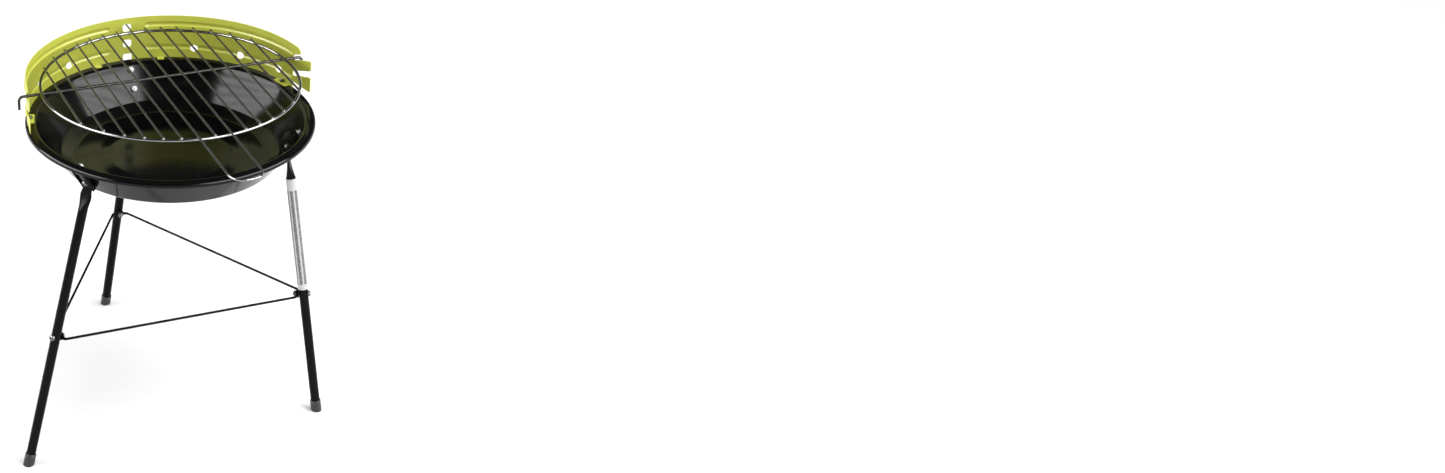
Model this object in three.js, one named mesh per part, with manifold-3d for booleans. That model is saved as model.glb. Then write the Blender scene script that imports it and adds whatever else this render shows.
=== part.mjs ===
// Tripod charcoal grill with a half-round windshield.
// Millimetres, +Z up, handle towards -Y, origin on the ground at the centre of the footprint.
import * as THREE from 'three';
import { mergeVertices } from 'three/addons/utils/BufferGeometryUtils.js';
import Module from 'manifold-3d';

const wasm = await Module();
wasm.setup();

// ---- general ----
const GAP = 0.3;
const SHEET = 1.5;
const MERGE_DISTANCE = 1e-4;
const RIGHT_ANGLE = Math.PI / 2;
const degrees = THREE.MathUtils.degToRad;

// ---- bowl; depths are below the rim ----
const RIM_RADIUS = 200;
const RIM_HEIGHT = 450;
const FLANGE_WIDTH = 12;
const RIM_BEND = 2;
const LIP_DROP = 6;
const WALL_TOP_RADIUS = 186;
const WALL_FOOT_RADIUS = 153;
const WALL_DEPTH = 52;
const FLOOR_RADIUS = 134;
const FLOOR_DEPTH = 60;
const FLOOR_RING_INNER = 84;
const FLOOR_RING_WIDTH = 26;
const FLOOR_RING_RISE = 2;
const FLOOR_RING_RAMP = 3;
const BOWL_SEGMENTS = 72;

// ---- windshield; heights are above the rim ----
const SHIELD_SHEET = 1.2;
const SHIELD_SET_IN = 2;
const SHIELD_HEIGHT = 66;
const SHIELD_STEP = 3;
const SHIELD_ARC_START = 10;
const SHIELD_TIP_REACH = 14;
const SHIELD_CORNER = 12;
const LOBE_FORWARD = 16;
const LOWEST_TAB_FOOT = 10;
const TAB_CORNER = 4;
const LIP_FORWARD = 15;
const VENT_DIAMETER = 11;
const VENT_HEIGHT = 15.5;
const VENT_ANGLES = [19, 40, 61, 119, 140, 161];
const SLOT_WIDTH = 13;
const SLOT_ABOVE = 2;
const SLOT_BELOW = 7;
const LOW_SLOT_TOP = 10;
const RIB_HEIGHT = 7;
const RIB_RISE = 1;
const RIB_CENTRES = [17, 53];
const RIB_START = 9;
const RIB_END = 82;
const FOOT_ANGLES = [15, 165];
const FOOT_ARC = 8;
const FOOT_WIDTH = 8;
const CLAW_ANGLES = [75.5, 104.5];
const CLAW_ARC = 3;

// ---- crossbar and cooking grid ----
const BAR_DIAMETER = 4;
const BAR_BACK = 28;
const BAR_LEVELS = [46.5, 22];
const BAR_OVERHANG = 5.5;
const BAR_BEND = 7;
const BAR_DROP = 18;
const BAR_PULL_ANGLE = 20;
const BAR_PLAY = 0.4;
const BAR_HEADROOM = 5;
const RING_RADIUS = 177;
const RING_DIAMETER = 4;
const RING_SEGMENTS = 60;
const WIRE_DIAMETER = 3;
const WIRE_SPACING = 21.9;
const WIRES_PER_SIDE = 7;
const WIRE_OVERHANG = 3;
const PRONG_PAST_SHIELD = 4;
const HANDLE_REACH = 127;
const ROD_SIDES = 8;

// ---- legs; sizes are across the tube, distances along it ----
const LEG_ANGLES = { back: 90, left: 210, right: 330 };
const TUBE_DIAMETER = 12.7;
const TUBE_BORE = 10.3;
const TUBE_BORE_STOP = 60;
const FOOT_CIRCLE = 250;
const TRIPOD_LEAN = 31;
const TRIPOD_TURN = -1.3;
const TONGUE_WIDTH = 17;
const TONGUE_THICKNESS = 3;
const TONGUE_TOP = 5;
const TONGUE_END = 38;
const SPOON_WIDTH = 20;
const SPOON_LENGTH = 36;
const TUBE_SIDES = 16;
const CAP_WALL = 0.85;
const CAP_HEIGHT = 17;
const CAP_FLOOR = 3;
const CHANNEL_PLAY = 0.6;
const CHANNEL_FLANGE = 7;
const CHANNEL_TOP = 4;
const CHANNEL_END = 43;
const BRACKET_BOLT_DEPTHS = [9, 33];
const LABEL_PAST_SPOON = 2;
const LABEL_ABOVE_BRACE = 9;
const LABEL_FILM = 0.5;

// ---- braces ----
const BRACE_HEIGHT = 192;
const BRACE_ROD = 3.6;
const EYELET_RADIUS = 6;
const EYELET_SHEET = 1.5;
const EYELET_NECK = 13;
const EYELET_NECK_WIDTH = 4.4;

// ---- fasteners ----
const LARGE_BOLT = { shank: 5, head: 9, headHeight: 3.2, nutFlats: 8, nutHeight: 4, hole: 5.6 };
const SMALL_BOLT = { shank: 4, head: 7, headHeight: 2.6, nutFlats: 6.6, nutHeight: 3.2, hole: 4.6 };
const BOLT_PAST_NUT = 1.5;
const BOLT_SIDES = 12;

// ---- what follows from the sizes above ----
const FLANGE_INNER = RIM_RADIUS - FLANGE_WIDTH;
const SHIELD_OUTER = RIM_RADIUS - SHIELD_SET_IN;
const SHIELD_INNER = SHIELD_OUTER - SHIELD_SHEET;
const BAR_HEIGHT = BAR_LEVELS[0];
const RING_HEIGHT = BAR_HEIGHT + BAR_DIAMETER / 2 + GAP + RING_DIAMETER / 2;
const WIRE_HEIGHT = RING_HEIGHT + RING_DIAMETER / 2 + GAP + WIRE_DIAMETER / 2;
const WIRE_ABOVE_BAR = WIRE_HEIGHT - BAR_HEIGHT;
const WALL_DOWN = new THREE.Vector2(WALL_FOOT_RADIUS - WALL_TOP_RADIUS, -WALL_DEPTH).normalize();
const WALL_OUT = new THREE.Vector2(-WALL_DOWN.y, WALL_DOWN.x);
const CAP_DIAMETER = TUBE_DIAMETER + (GAP + CAP_WALL) * 2;
const TONGUE_OFFSET = SHEET + GAP + SHEET + GAP + TONGUE_THICKNESS / 2;
const LEG_KNEE = onWall(TONGUE_END, TONGUE_OFFSET);

// ---- materials ----
const finish = (color, roughness, metalness) => new THREE.MeshStandardMaterial({ color, roughness, metalness });
const enamel = finish(0x17181a, 0.18, 0.1);
const windshieldPaint = finish(0xc3cf3a, 0.4, 0);
const legPaint = finish(0x1b1b1d, 0.38, 0.2);
const brightSteel = finish(0xc9c9cb, 0.25, 1);
const darkSteel = finish(0x4a4643, 0.35, 1);
const zinc = finish(0xd6d6d2, 0.3, 1);
const capPlastic = finish(0x101012, 0.6, 0);
const labelFilm = finish(0xdedfe4, 0.35, 0);

// ---- geometry helpers ----
function toSolid(geometry) {
  const bare = new THREE.BufferGeometry();
  bare.setAttribute('position', geometry.getAttribute('position'));
  bare.setIndex(geometry.index);
  const merged = mergeVertices(bare, MERGE_DISTANCE);
  const places = merged.getAttribute('position').array;
  const faces = [];
  let volume = 0;
  for (let i = 0; i < merged.index.count; i += 3) {
    const [a, b, c] = merged.index.array.slice(i, i + 3);
    if (a === b || b === c || c === a) continue;
    faces.push(a, b, c);
    const [p, q, r] = [a, b, c].map((v) => new THREE.Vector3().fromArray(places, 3 * v));
    volume += p.dot(q.cross(r));
  }
  if (volume < 0) faces.reverse();
  const mesh = new wasm.Mesh({ numProp: 3, vertProperties: places, triVerts: Uint32Array.from(faces) });
  return new wasm.Manifold(mesh);
}

function toMesh(name, solid, material) {
  const { vertProperties, triVerts } = solid.getMesh();
  const geometry = new THREE.BufferGeometry();
  geometry.setAttribute('position', new THREE.BufferAttribute(vertProperties, 3));
  geometry.setIndex(new THREE.BufferAttribute(triVerts, 1));
  geometry.computeVertexNormals();
  const mesh = new THREE.Mesh(geometry, material);
  mesh.name = name;
  return mesh;
}

// A round bar or disc of radius r from one point to another.
function rod(from, to, radius, sides = ROD_SIDES) {
  const axis = to.clone().sub(from);
  const geometry = new THREE.CylinderGeometry(radius, radius, axis.length(), sides);
  const turn = new THREE.Quaternion().setFromUnitVectors(SIDEWAYS, axis.clone().normalize());
  geometry.applyQuaternion(turn);
  geometry.translate(...from.clone().add(to).multiplyScalar(0.5).toArray());
  return toSolid(geometry);
}

function lathe(points, segments) {
  const geometry = new THREE.LatheGeometry(points, segments);
  geometry.rotateX(RIGHT_ANGLE);
  return toSolid(geometry);
}

function extrude(shape, depth, low = 0) {
  const geometry = new THREE.ExtrudeGeometry(shape, { depth, bevelEnabled: false, curveSegments: 6 });
  geometry.translate(0, 0, low);
  return geometry;
}

// A polyline moved sideways to its right by a distance, with mitred corners.
function offsetLine(points, distance) {
  return points.map((point, i) => {
    const before = point.clone().sub(points[Math.max(i - 1, 0)]);
    const after = points[Math.min(i + 1, points.length - 1)].clone().sub(point);
    const first = (i === 0 ? after : before).normalize();
    const second = (i === points.length - 1 ? first : after.clone()).normalize();
    const rightA = new THREE.Vector2(first.y, -first.x);
    const rightB = new THREE.Vector2(second.y, -second.x);
    const mitre = rightA.clone().add(rightB).normalize();
    return point.clone().addScaledVector(mitre, distance / mitre.dot(rightA));
  });
}

// A place on the bowl's wall in the radial plane: depth below the rim, distance out from the inner face.
function onWall(depth, out) {
  const place = new THREE.Vector2(WALL_TOP_RADIUS, 0);
  place.addScaledVector(WALL_DOWN, depth / -WALL_DOWN.y);
  return place.addScaledVector(WALL_OUT, out);
}

const UP = new THREE.Vector3(0, 0, 1);
const SIDEWAYS = new THREE.Vector3(0, 1, 0);
const inRadialPlane = (place, sideways = 0) => new THREE.Vector3(place.x, sideways, place.y);

// The line of a leg's tube, from its knee at the bowl to its sole. The feet stand on a circle that is
// moved to the left and turned a little from the bowl's axis, because the tripod leans. A place on it
// is given by the distance down from the knee, out from the tube's centre and sideways.
function legLine(angle) {
  const lean = new THREE.Vector3(-TRIPOD_LEAN, 0, 0).applyAxisAngle(UP, -degrees(angle));
  const knee = inRadialPlane(LEG_KNEE);
  const sole = onRim(TRIPOD_TURN, FOOT_CIRCLE, CAP_FLOOR - RIM_HEIGHT).add(lean);
  const length = sole.distanceTo(knee);
  const down = sole.clone().sub(knee).normalize();
  const up = down.clone().negate();
  const out = new THREE.Vector3().crossVectors(SIDEWAYS, up).normalize();
  const side = new THREE.Vector3().crossVectors(up, out);
  const at = (along, outward, sideways = 0) =>
    knee.clone().addScaledVector(down, along).addScaledVector(out, outward).addScaledVector(side, sideways);
  const braceDown = (knee.z - (BRACE_HEIGHT - RIM_HEIGHT)) / up.z;
  return { knee, sole, length, down, up, out, side, at, braceDown };
}

const onRim = (angle, radius, height) =>
  new THREE.Vector3(Math.cos(degrees(angle)) * radius, Math.sin(degrees(angle)) * radius, height);

function drill(solid, from, to, diameter) {
  return solid.subtract(rod(from, to, diameter / 2, BOLT_SIDES));
}

// Part of a flat ring, as an outline in plan.
function ringSector(inner, outer, start, end) {
  const steps = Math.max(1, Math.round((end - start) / SHIELD_STEP));
  const angles = Array.from({ length: steps + 1 }, (_, i) => start + ((end - start) * i) / steps);
  const across = (radius) => angles.map((a) => new THREE.Vector2().copy(onRim(a, radius, 0)));
  return new THREE.Shape([...across(outer), ...across(inner).reverse()]);
}

// ---- fasteners ----
// A pan-head bolt whose head sits at the origin and whose shank runs along -Z by a length.
function boltSolid(size, length) {
  const headRadius = size.head / 2;
  const shoulder = size.headHeight * 0.45;
  const profile = [
    [0, -length], [size.shank / 2 - 0.4, -length], [size.shank / 2, 0.4 - length], [size.shank / 2, 0],
    [headRadius, 0], [headRadius, shoulder], [headRadius * 0.78, size.headHeight * 0.86],
    [headRadius * 0.4, size.headHeight], [0, size.headHeight],
  ];
  return lathe(profile.map(([r, z]) => new THREE.Vector2(r, z)), BOLT_SIDES);
}

// A hexagon nut from z = 0 up to its height.
function nutSolid(size) {
  const blank = new THREE.CylinderGeometry(1, 1, size.nutHeight, 6);
  const corner = size.nutFlats / Math.sqrt(3);
  blank.scale(corner, 1, corner);
  blank.rotateX(RIGHT_ANGLE);
  blank.translate(0, 0, size.nutHeight / 2);
  const below = new THREE.Vector3(0, 0, -1);
  const above = new THREE.Vector3(0, 0, size.nutHeight + 1);
  return drill(toSolid(blank), below, above, size.hole);
}

// Turns a mesh so that its +Z lies along a direction, and puts its origin at a place.
function setAlong(mesh, place, direction) {
  mesh.position.copy(place);
  mesh.quaternion.setFromUnitVectors(UP, direction.clone().normalize());
  return mesh;
}

// A bolt and its nut: the head at one place, the nut's seat some distance along the shank.
function fastener(name, size, headPlace, outward, grip) {
  const length = grip + size.nutHeight + BOLT_PAST_NUT;
  const bolt = setAlong(toMesh(`${name}_bolt`, boltSolid(size, length), zinc), headPlace, outward);
  const nutPlace = headPlace.clone().addScaledVector(outward, -grip);
  const nut = setAlong(toMesh(`${name}_nut`, nutSolid(size), zinc), nutPlace, outward.clone().negate());
  return [bolt, nut];
}

// ---- bowl ----
function bowl() {
  const ringOuter = FLOOR_RING_INNER + FLOOR_RING_WIDTH;
  const ringTop = FLOOR_RING_RISE - FLOOR_DEPTH;
  const upperFace = [
    [0, -FLOOR_DEPTH], [FLOOR_RING_INNER, -FLOOR_DEPTH], [FLOOR_RING_INNER + FLOOR_RING_RAMP, ringTop],
    [ringOuter - FLOOR_RING_RAMP, ringTop], [ringOuter, -FLOOR_DEPTH], [FLOOR_RADIUS, -FLOOR_DEPTH],
    [WALL_FOOT_RADIUS, -WALL_DEPTH], onWall(RIM_BEND, 0).toArray(), [FLANGE_INNER, 0],
    [RIM_RADIUS - RIM_BEND, 0], [RIM_RADIUS, -RIM_BEND], [RIM_RADIUS, -LIP_DROP],
  ].map(([r, z]) => new THREE.Vector2(r, z));
  const lowerFace = offsetLine(upperFace, SHEET).reverse();
  let solid = lathe([...upperFace, ...lowerFace], BOWL_SEGMENTS);
  for (const angle of Object.values(LEG_ANGLES)) {
    for (const depth of BRACKET_BOLT_DEPTHS) {
      const inside = inRadialPlane(onWall(depth, -SHEET * 2)).applyAxisAngle(UP, degrees(angle));
      const outside = inRadialPlane(onWall(depth, SHEET * 3)).applyAxisAngle(UP, degrees(angle));
      solid = drill(solid, inside, outside, LARGE_BOLT.hole);
    }
  }
  for (const angle of FOOT_ANGLES) {
    const radius = footBoltRadius();
    solid = drill(solid, onRim(angle, radius, SHEET), onRim(angle, radius, -SHEET * 2), SMALL_BOLT.hole);
  }
  return toMesh('bowl', solid, enamel);
}

// ---- windshield ----
const footBoltRadius = () => SHIELD_INNER - FOOT_WIDTH / 2 - GAP;

function shieldBand() {
  const start = degrees(SHIELD_ARC_START);
  const steps = Math.round((180 - 2 * SHIELD_ARC_START) / SHIELD_STEP);
  const face = (radius) => {
    const points = [];
    for (let i = 0; i <= steps; i += 1) {
      const angle = SHIELD_ARC_START + ((180 - 2 * SHIELD_ARC_START) * i) / steps;
      points.push(new THREE.Vector2().copy(onRim(angle, radius, 0)));
    }
    const reach = (radius * Math.sin(start) + SHIELD_TIP_REACH) / Math.cos(start);
    const tip = points[0].clone().add(new THREE.Vector2(Math.sin(start), -Math.cos(start)).multiplyScalar(reach));
    return [tip, ...points, new THREE.Vector2(-tip.x, tip.y)];
  };
  const outline = new THREE.Shape([...face(SHIELD_OUTER), ...face(SHIELD_INNER).reverse()]);
  return toSolid(extrude(outline, SHIELD_HEIGHT - GAP, GAP));
}

// Everything in front of the shield's end edge, seen from the side: a rounded top corner and the
// hooks between the notches that the bar drops into. The first number is y, the second height.
function shieldEndCut() {
  const rise = Math.tan(degrees(BAR_PULL_ANGLE));
  const room = BAR_DIAMETER / 2 + BAR_PLAY;
  const headroom = BAR_HEADROOM / Math.cos(degrees(BAR_PULL_ANGLE));
  const front = -SHIELD_TIP_REACH;
  const beyond = front - RIM_RADIUS / 4;
  const lobeFront = BAR_BACK - LOBE_FORWARD;
  const shape = new THREE.Shape();
  shape.moveTo(beyond, SHIELD_HEIGHT * 1.2);
  shape.lineTo(lobeFront + SHIELD_CORNER, SHIELD_HEIGHT * 1.2);
  shape.lineTo(lobeFront + SHIELD_CORNER, SHIELD_HEIGHT);
  const topEdge = (y, level) => level + (BAR_BACK - y) * rise + headroom;
  const lipEdge = (y, level) => level + (BAR_BACK - y) * rise - room / Math.cos(degrees(BAR_PULL_ANGLE));
  const lobeFoot = Math.min(topEdge(lobeFront, BAR_HEIGHT), SHIELD_HEIGHT - SHIELD_CORNER / 3);
  shape.quadraticCurveTo(lobeFront, SHIELD_HEIGHT, lobeFront, lobeFoot + TAB_CORNER / 4);
  shape.lineTo(lobeFront + TAB_CORNER / 4, lobeFoot);
  BAR_LEVELS.forEach((level, i) => {
    if (i > 0) {
      const corner = topEdge(front, level);
      shape.lineTo(front, corner + TAB_CORNER);
      shape.quadraticCurveTo(front, corner, front + TAB_CORNER, topEdge(front + TAB_CORNER, level));
    }
    shape.lineTo(BAR_BACK - room, topEdge(BAR_BACK - room, level));
    shape.quadraticCurveTo(BAR_BACK + room, topEdge(BAR_BACK, level), BAR_BACK + room, level);
    shape.quadraticCurveTo(BAR_BACK + room, level - room, BAR_BACK, level - room);
    shape.lineTo(BAR_BACK - room, level - room);
    shape.lineTo(BAR_BACK - LIP_FORWARD, lipEdge(BAR_BACK - LIP_FORWARD, level));
    shape.lineTo(front + TAB_CORNER, lipEdge(front + TAB_CORNER * 2, level));
    shape.quadraticCurveTo(front, lipEdge(front + TAB_CORNER * 2, level), front, lipEdge(front, level) - TAB_CORNER);
  });
  shape.lineTo(front, LOWEST_TAB_FOOT + TAB_CORNER);
  shape.quadraticCurveTo(front, LOWEST_TAB_FOOT, front + TAB_CORNER, LOWEST_TAB_FOOT);
  shape.lineTo(BAR_BACK, LOWEST_TAB_FOOT);
  shape.quadraticCurveTo(BAR_BACK + room, LOWEST_TAB_FOOT, BAR_BACK + room, 0);
  shape.lineTo(BAR_BACK + room, -BAR_DIAMETER);
  shape.lineTo(beyond, -BAR_DIAMETER);
  const width = RIM_RADIUS * 2.6;
  const geometry = extrude(shape, width, -width / 2);
  geometry.applyMatrix4(new THREE.Matrix4().makeBasis(SIDEWAYS, UP, new THREE.Vector3(1, 0, 0)));
  return toSolid(geometry);
}

// A hole through the shield's back with rounded corners, from one height to another.
function backSlot(low, high, footRound, headRound) {
  const half = SLOT_WIDTH / 2;
  const shape = new THREE.Shape();
  shape.moveTo(footRound - half, low);
  shape.lineTo(half - footRound, low);
  shape.quadraticCurveTo(half, low, half, low + footRound);
  shape.lineTo(half, high - headRound);
  shape.quadraticCurveTo(half, high, half - headRound, high);
  shape.lineTo(headRound - half, high);
  shape.quadraticCurveTo(-half, high, -half, high - headRound);
  shape.lineTo(-half, low + footRound);
  if (footRound > 0) shape.quadraticCurveTo(-half, low, footRound - half, low);
  const geometry = extrude(shape, FLANGE_WIDTH * 2, -FLANGE_WIDTH);
  geometry.rotateX(RIGHT_ANGLE);
  geometry.translate(0, SHIELD_OUTER, 0);
  return toSolid(geometry);
}

// The openings that the grid's prong goes through, one for each height of the bar. The lowest is
// open to the rim.
function shieldSlots() {
  const upperSlots = BAR_LEVELS.map((level) => {
    const low = level + WIRE_ABOVE_BAR - WIRE_DIAMETER / 2 - SLOT_BELOW;
    const high = level + WIRE_ABOVE_BAR + WIRE_DIAMETER / 2 + SLOT_ABOVE;
    const round = SLOT_WIDTH / 3;
    return backSlot(low, high, round, round);
  });
  return [...upperSlots, backSlot(-SHEET, LOW_SLOT_TOP, 0, TAB_CORNER / 2)];
}

function windshield() {
  let solid = shieldBand();
  for (const centre of RIB_CENTRES) {
    for (const [start, end] of [[RIB_START, RIB_END], [180 - RIB_END, 180 - RIB_START]]) {
      const rib = ringSector(SHIELD_INNER + SHIELD_SHEET / 2, SHIELD_OUTER + RIB_RISE, start, end);
      solid = solid.add(toSolid(extrude(rib, RIB_HEIGHT, centre - RIB_HEIGHT / 2)));
    }
  }
  const feet = FOOT_ANGLES.map((angle) => [angle, FOOT_ARC]);
  const claws = CLAW_ANGLES.map((angle) => [angle, CLAW_ARC]);
  for (const [angle, arc] of [...feet, ...claws]) {
    const inner = SHIELD_INNER - FOOT_WIDTH;
    const foot = ringSector(inner, SHIELD_OUTER - SHIELD_SHEET / 2, angle - arc / 2, angle + arc / 2);
    solid = solid.add(toSolid(extrude(foot, SHIELD_SHEET, GAP)));
  }
  solid = solid.subtract(shieldEndCut());
  for (const slot of shieldSlots()) solid = solid.subtract(slot);
  for (const angle of VENT_ANGLES) {
    const inside = onRim(angle, SHIELD_INNER - FLANGE_WIDTH, VENT_HEIGHT);
    solid = drill(solid, inside, onRim(angle, RIM_RADIUS + FLANGE_WIDTH, VENT_HEIGHT), VENT_DIAMETER);
  }
  for (const angle of FOOT_ANGLES) {
    const radius = footBoltRadius();
    solid = drill(solid, onRim(angle, radius, -SHEET), onRim(angle, radius, SHEET * 2), SMALL_BOLT.hole);
  }
  return toMesh('windshield', solid, windshieldPaint);
}

function windshieldFasteners() {
  const grip = SHEET + SHIELD_SHEET + GAP * 3;
  const down = new THREE.Vector3(0, 0, -1);
  return FOOT_ANGLES.flatMap((angle) => {
    const side = angle < 90 ? 'right' : 'left';
    return fastener(`windshield_${side}`, SMALL_BOLT, onRim(angle, footBoltRadius(), -SHEET - GAP), down, grip);
  });
}

// ---- crossbar ----
function crossbar() {
  const path = new THREE.CurvePath();
  const side = RIM_RADIUS + BAR_OVERHANG;
  const at = (x, z) => new THREE.Vector3(x, BAR_BACK, BAR_HEIGHT + z);
  path.add(new THREE.LineCurve3(at(-side, -BAR_DROP), at(-side, -BAR_BEND)));
  path.add(new THREE.QuadraticBezierCurve3(at(-side, -BAR_BEND), at(-side, 0), at(BAR_BEND - side, 0)));
  path.add(new THREE.LineCurve3(at(BAR_BEND - side, 0), at(side - BAR_BEND, 0)));
  path.add(new THREE.QuadraticBezierCurve3(at(side - BAR_BEND, 0), at(side, 0), at(side, -BAR_BEND)));
  path.add(new THREE.LineCurve3(at(side, -BAR_BEND), at(side, -BAR_DROP)));
  return toMesh('crossbar', bentRod(path, BAR_DIAMETER), darkSteel);
}

// A bent rod: straight stretches as one step each and a few steps in each bend.
function bentRod(path, diameter) {
  const bendSteps = 5;
  const points = [];
  for (const curve of path.curves) {
    const steps = curve.isLineCurve3 ? 1 : bendSteps;
    for (let i = points.length ? 1 : 0; i <= steps; i += 1) points.push(curve.getPoint(i / steps));
  }
  const plane = planeOf(points);
  const positions = [];
  const faces = [];
  points.forEach((point, i) => {
    const before = points[Math.max(i - 1, 0)];
    const after = points[Math.min(i + 1, points.length - 1)];
    const incoming = point.clone().sub(before).normalize();
    const outgoing = after.clone().sub(point).normalize();
    const along = incoming.clone().add(outgoing).normalize();
    const across = new THREE.Vector3().crossVectors(plane, along);
    const mitre = i === 0 || i === points.length - 1 ? 1 : 1 / Math.max(along.dot(outgoing), 0.5);
    for (let k = 0; k < ROD_SIDES; k += 1) {
      const turn = (2 * Math.PI * k) / ROD_SIDES;
      const place = point.clone().addScaledVector(plane, (Math.sin(turn) * diameter) / 2);
      place.addScaledVector(across, (Math.cos(turn) * diameter * mitre) / 2);
      positions.push(...place.toArray());
    }
  });
  const last = points.length - 1;
  for (let i = 0; i < last; i += 1) addBelt(faces, i * ROD_SIDES, (i + 1) * ROD_SIDES, ROD_SIDES);
  addLid(faces, 0, ROD_SIDES, true);
  addLid(faces, last * ROD_SIDES, ROD_SIDES, false);
  return toSolid(indexed(positions, faces));
}

function planeOf(points) {
  const first = points[1].clone().sub(points[0]);
  for (let i = 2; i < points.length; i += 1) {
    const normal = new THREE.Vector3().crossVectors(first, points[i].clone().sub(points[i - 1]));
    if (normal.length() > MERGE_DISTANCE) return normal.normalize();
  }
  return UP.clone();
}

function indexed(positions, faces) {
  const geometry = new THREE.BufferGeometry();
  geometry.setAttribute('position', new THREE.Float32BufferAttribute(positions, 3));
  geometry.setIndex(faces);
  return geometry;
}

// Two triangles between each pair of neighbours of two rings of points.
function addBelt(faces, low, high, sides) {
  for (let k = 0; k < sides; k += 1) {
    const next = (k + 1) % sides;
    faces.push(low + k, low + next, high + next, low + k, high + next, high + k);
  }
}

function addLid(faces, start, sides, reversed) {
  for (let k = 1; k < sides - 1; k += 1) {
    if (reversed) faces.push(start, start + k + 1, start + k);
    else faces.push(start, start + k, start + k + 1);
  }
}

// ---- cooking grid ----
function gridRing() {
  const profile = [];
  for (let i = 0; i <= ROD_SIDES; i += 1) {
    const turn = (2 * Math.PI * (i % ROD_SIDES)) / ROD_SIDES;
    const out = (Math.cos(turn) * RING_DIAMETER) / 2;
    profile.push(new THREE.Vector2(RING_RADIUS + out, RING_HEIGHT + (Math.sin(turn) * RING_DIAMETER) / 2));
  }
  return toMesh('grid_ring', lathe(profile, RING_SEGMENTS), brightSteel);
}

function gridWires() {
  const wires = [];
  for (let k = -WIRES_PER_SIDE; k <= WIRES_PER_SIDE; k += 1) {
    if (Math.abs(k) === 1) continue;
    const x = k * WIRE_SPACING;
    const reach = Math.sqrt(RING_RADIUS ** 2 - x ** 2) + WIRE_OVERHANG;
    const back = k === 0 ? SHIELD_INNER + PRONG_PAST_SHIELD : reach;
    const name = k === 0 ? 'grid_prong_wire' : `grid_wire_${k < 0 ? 'left' : 'right'}_${Math.abs(k)}`;
    const from = new THREE.Vector3(x, -reach, WIRE_HEIGHT);
    wires.push(toMesh(name, rod(from, new THREE.Vector3(x, back, WIRE_HEIGHT), WIRE_DIAMETER / 2), brightSteel));
  }
  return wires;
}

// The two wires beside the middle one are one wire that turns round in front as the handle.
function gridHandle() {
  const back = Math.sqrt(RING_RADIUS ** 2 - WIRE_SPACING ** 2) + WIRE_OVERHANG;
  const turnStart = -RING_RADIUS - HANDLE_REACH + WIRE_SPACING;
  const turnSteps = 12;
  const path = new THREE.CurvePath();
  const at = (x, y) => new THREE.Vector3(x, y, WIRE_HEIGHT);
  const onTurn = (i) => {
    const turn = Math.PI + (Math.PI * i) / turnSteps;
    return at(Math.cos(turn) * WIRE_SPACING, turnStart + Math.sin(turn) * WIRE_SPACING);
  };
  path.add(new THREE.LineCurve3(at(-WIRE_SPACING, back), onTurn(0)));
  for (let i = 0; i < turnSteps; i += 1) path.add(new THREE.LineCurve3(onTurn(i), onTurn(i + 1)));
  path.add(new THREE.LineCurve3(onTurn(turnSteps), at(WIRE_SPACING, back)));
  return toMesh('grid_handle_wire', bentRod(path, WIRE_DIAMETER), brightSteel);
}

// ---- legs, each built with x outwards, y sideways and z up from the rim ----
// The sections of a leg from its flat tongue, through the spoon below the knee, to the round tube.
function legSections(line) {
  const tongue = { side: SIDEWAYS, width: TONGUE_WIDTH, depth: TONGUE_THICKNESS };
  const wallOut = inRadialPlane(WALL_OUT);
  const sections = [
    { place: inRadialPlane(onWall(TONGUE_TOP, TONGUE_OFFSET)), out: wallOut, ...tongue },
    { place: line.knee, out: wallOut.clone().add(line.out).normalize(), ...tongue },
  ];
  const widest = 0.4;
  for (const share of [0.1, 0.25, widest, 0.55, 0.75, 1]) {
    const narrowing = (share - widest) / (1 - widest);
    const wide = THREE.MathUtils.lerp(SPOON_WIDTH, TUBE_DIAMETER, narrowing);
    const width = narrowing < 0 ? TONGUE_WIDTH : wide;
    const depth = THREE.MathUtils.lerp(TONGUE_THICKNESS, TUBE_DIAMETER, share ** 1.3);
    sections.push({ place: line.at(share * SPOON_LENGTH, 0), out: line.out, side: line.side, width, depth });
  }
  const tube = { width: TUBE_DIAMETER, depth: TUBE_DIAMETER };
  sections.push({ place: line.sole, out: line.out, side: line.side, ...tube });
  return sections;
}

function legSolid(line) {
  const sections = legSections(line);
  const positions = [];
  const faces = [];
  for (const { place, out, side, width, depth } of sections) {
    for (let k = 0; k < TUBE_SIDES; k += 1) {
      const turn = (2 * Math.PI * k) / TUBE_SIDES;
      const spot = place.clone().addScaledVector(out, (Math.cos(turn) * depth) / 2);
      positions.push(...spot.addScaledVector(side, (Math.sin(turn) * width) / 2).toArray());
    }
  }
  const last = sections.length - 1;
  for (let i = 0; i < last; i += 1) addBelt(faces, i * TUBE_SIDES, (i + 1) * TUBE_SIDES, TUBE_SIDES);
  addLid(faces, 0, TUBE_SIDES, true);
  addLid(faces, last * TUBE_SIDES, TUBE_SIDES, false);
  let solid = toSolid(indexed(positions, faces));
  solid = drill(solid, line.at(TUBE_BORE_STOP, 0), line.at(line.length + 1, 0), TUBE_BORE);
  for (const depth of BRACKET_BOLT_DEPTHS) {
    const inside = inRadialPlane(onWall(depth, SHEET));
    solid = drill(solid, inside, inRadialPlane(onWall(depth, TONGUE_OFFSET * 3)), LARGE_BOLT.hole);
  }
  const from = line.at(line.braceDown, -TUBE_DIAMETER);
  return drill(solid, from, line.at(line.braceDown, TUBE_DIAMETER), LARGE_BOLT.hole);
}

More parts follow.
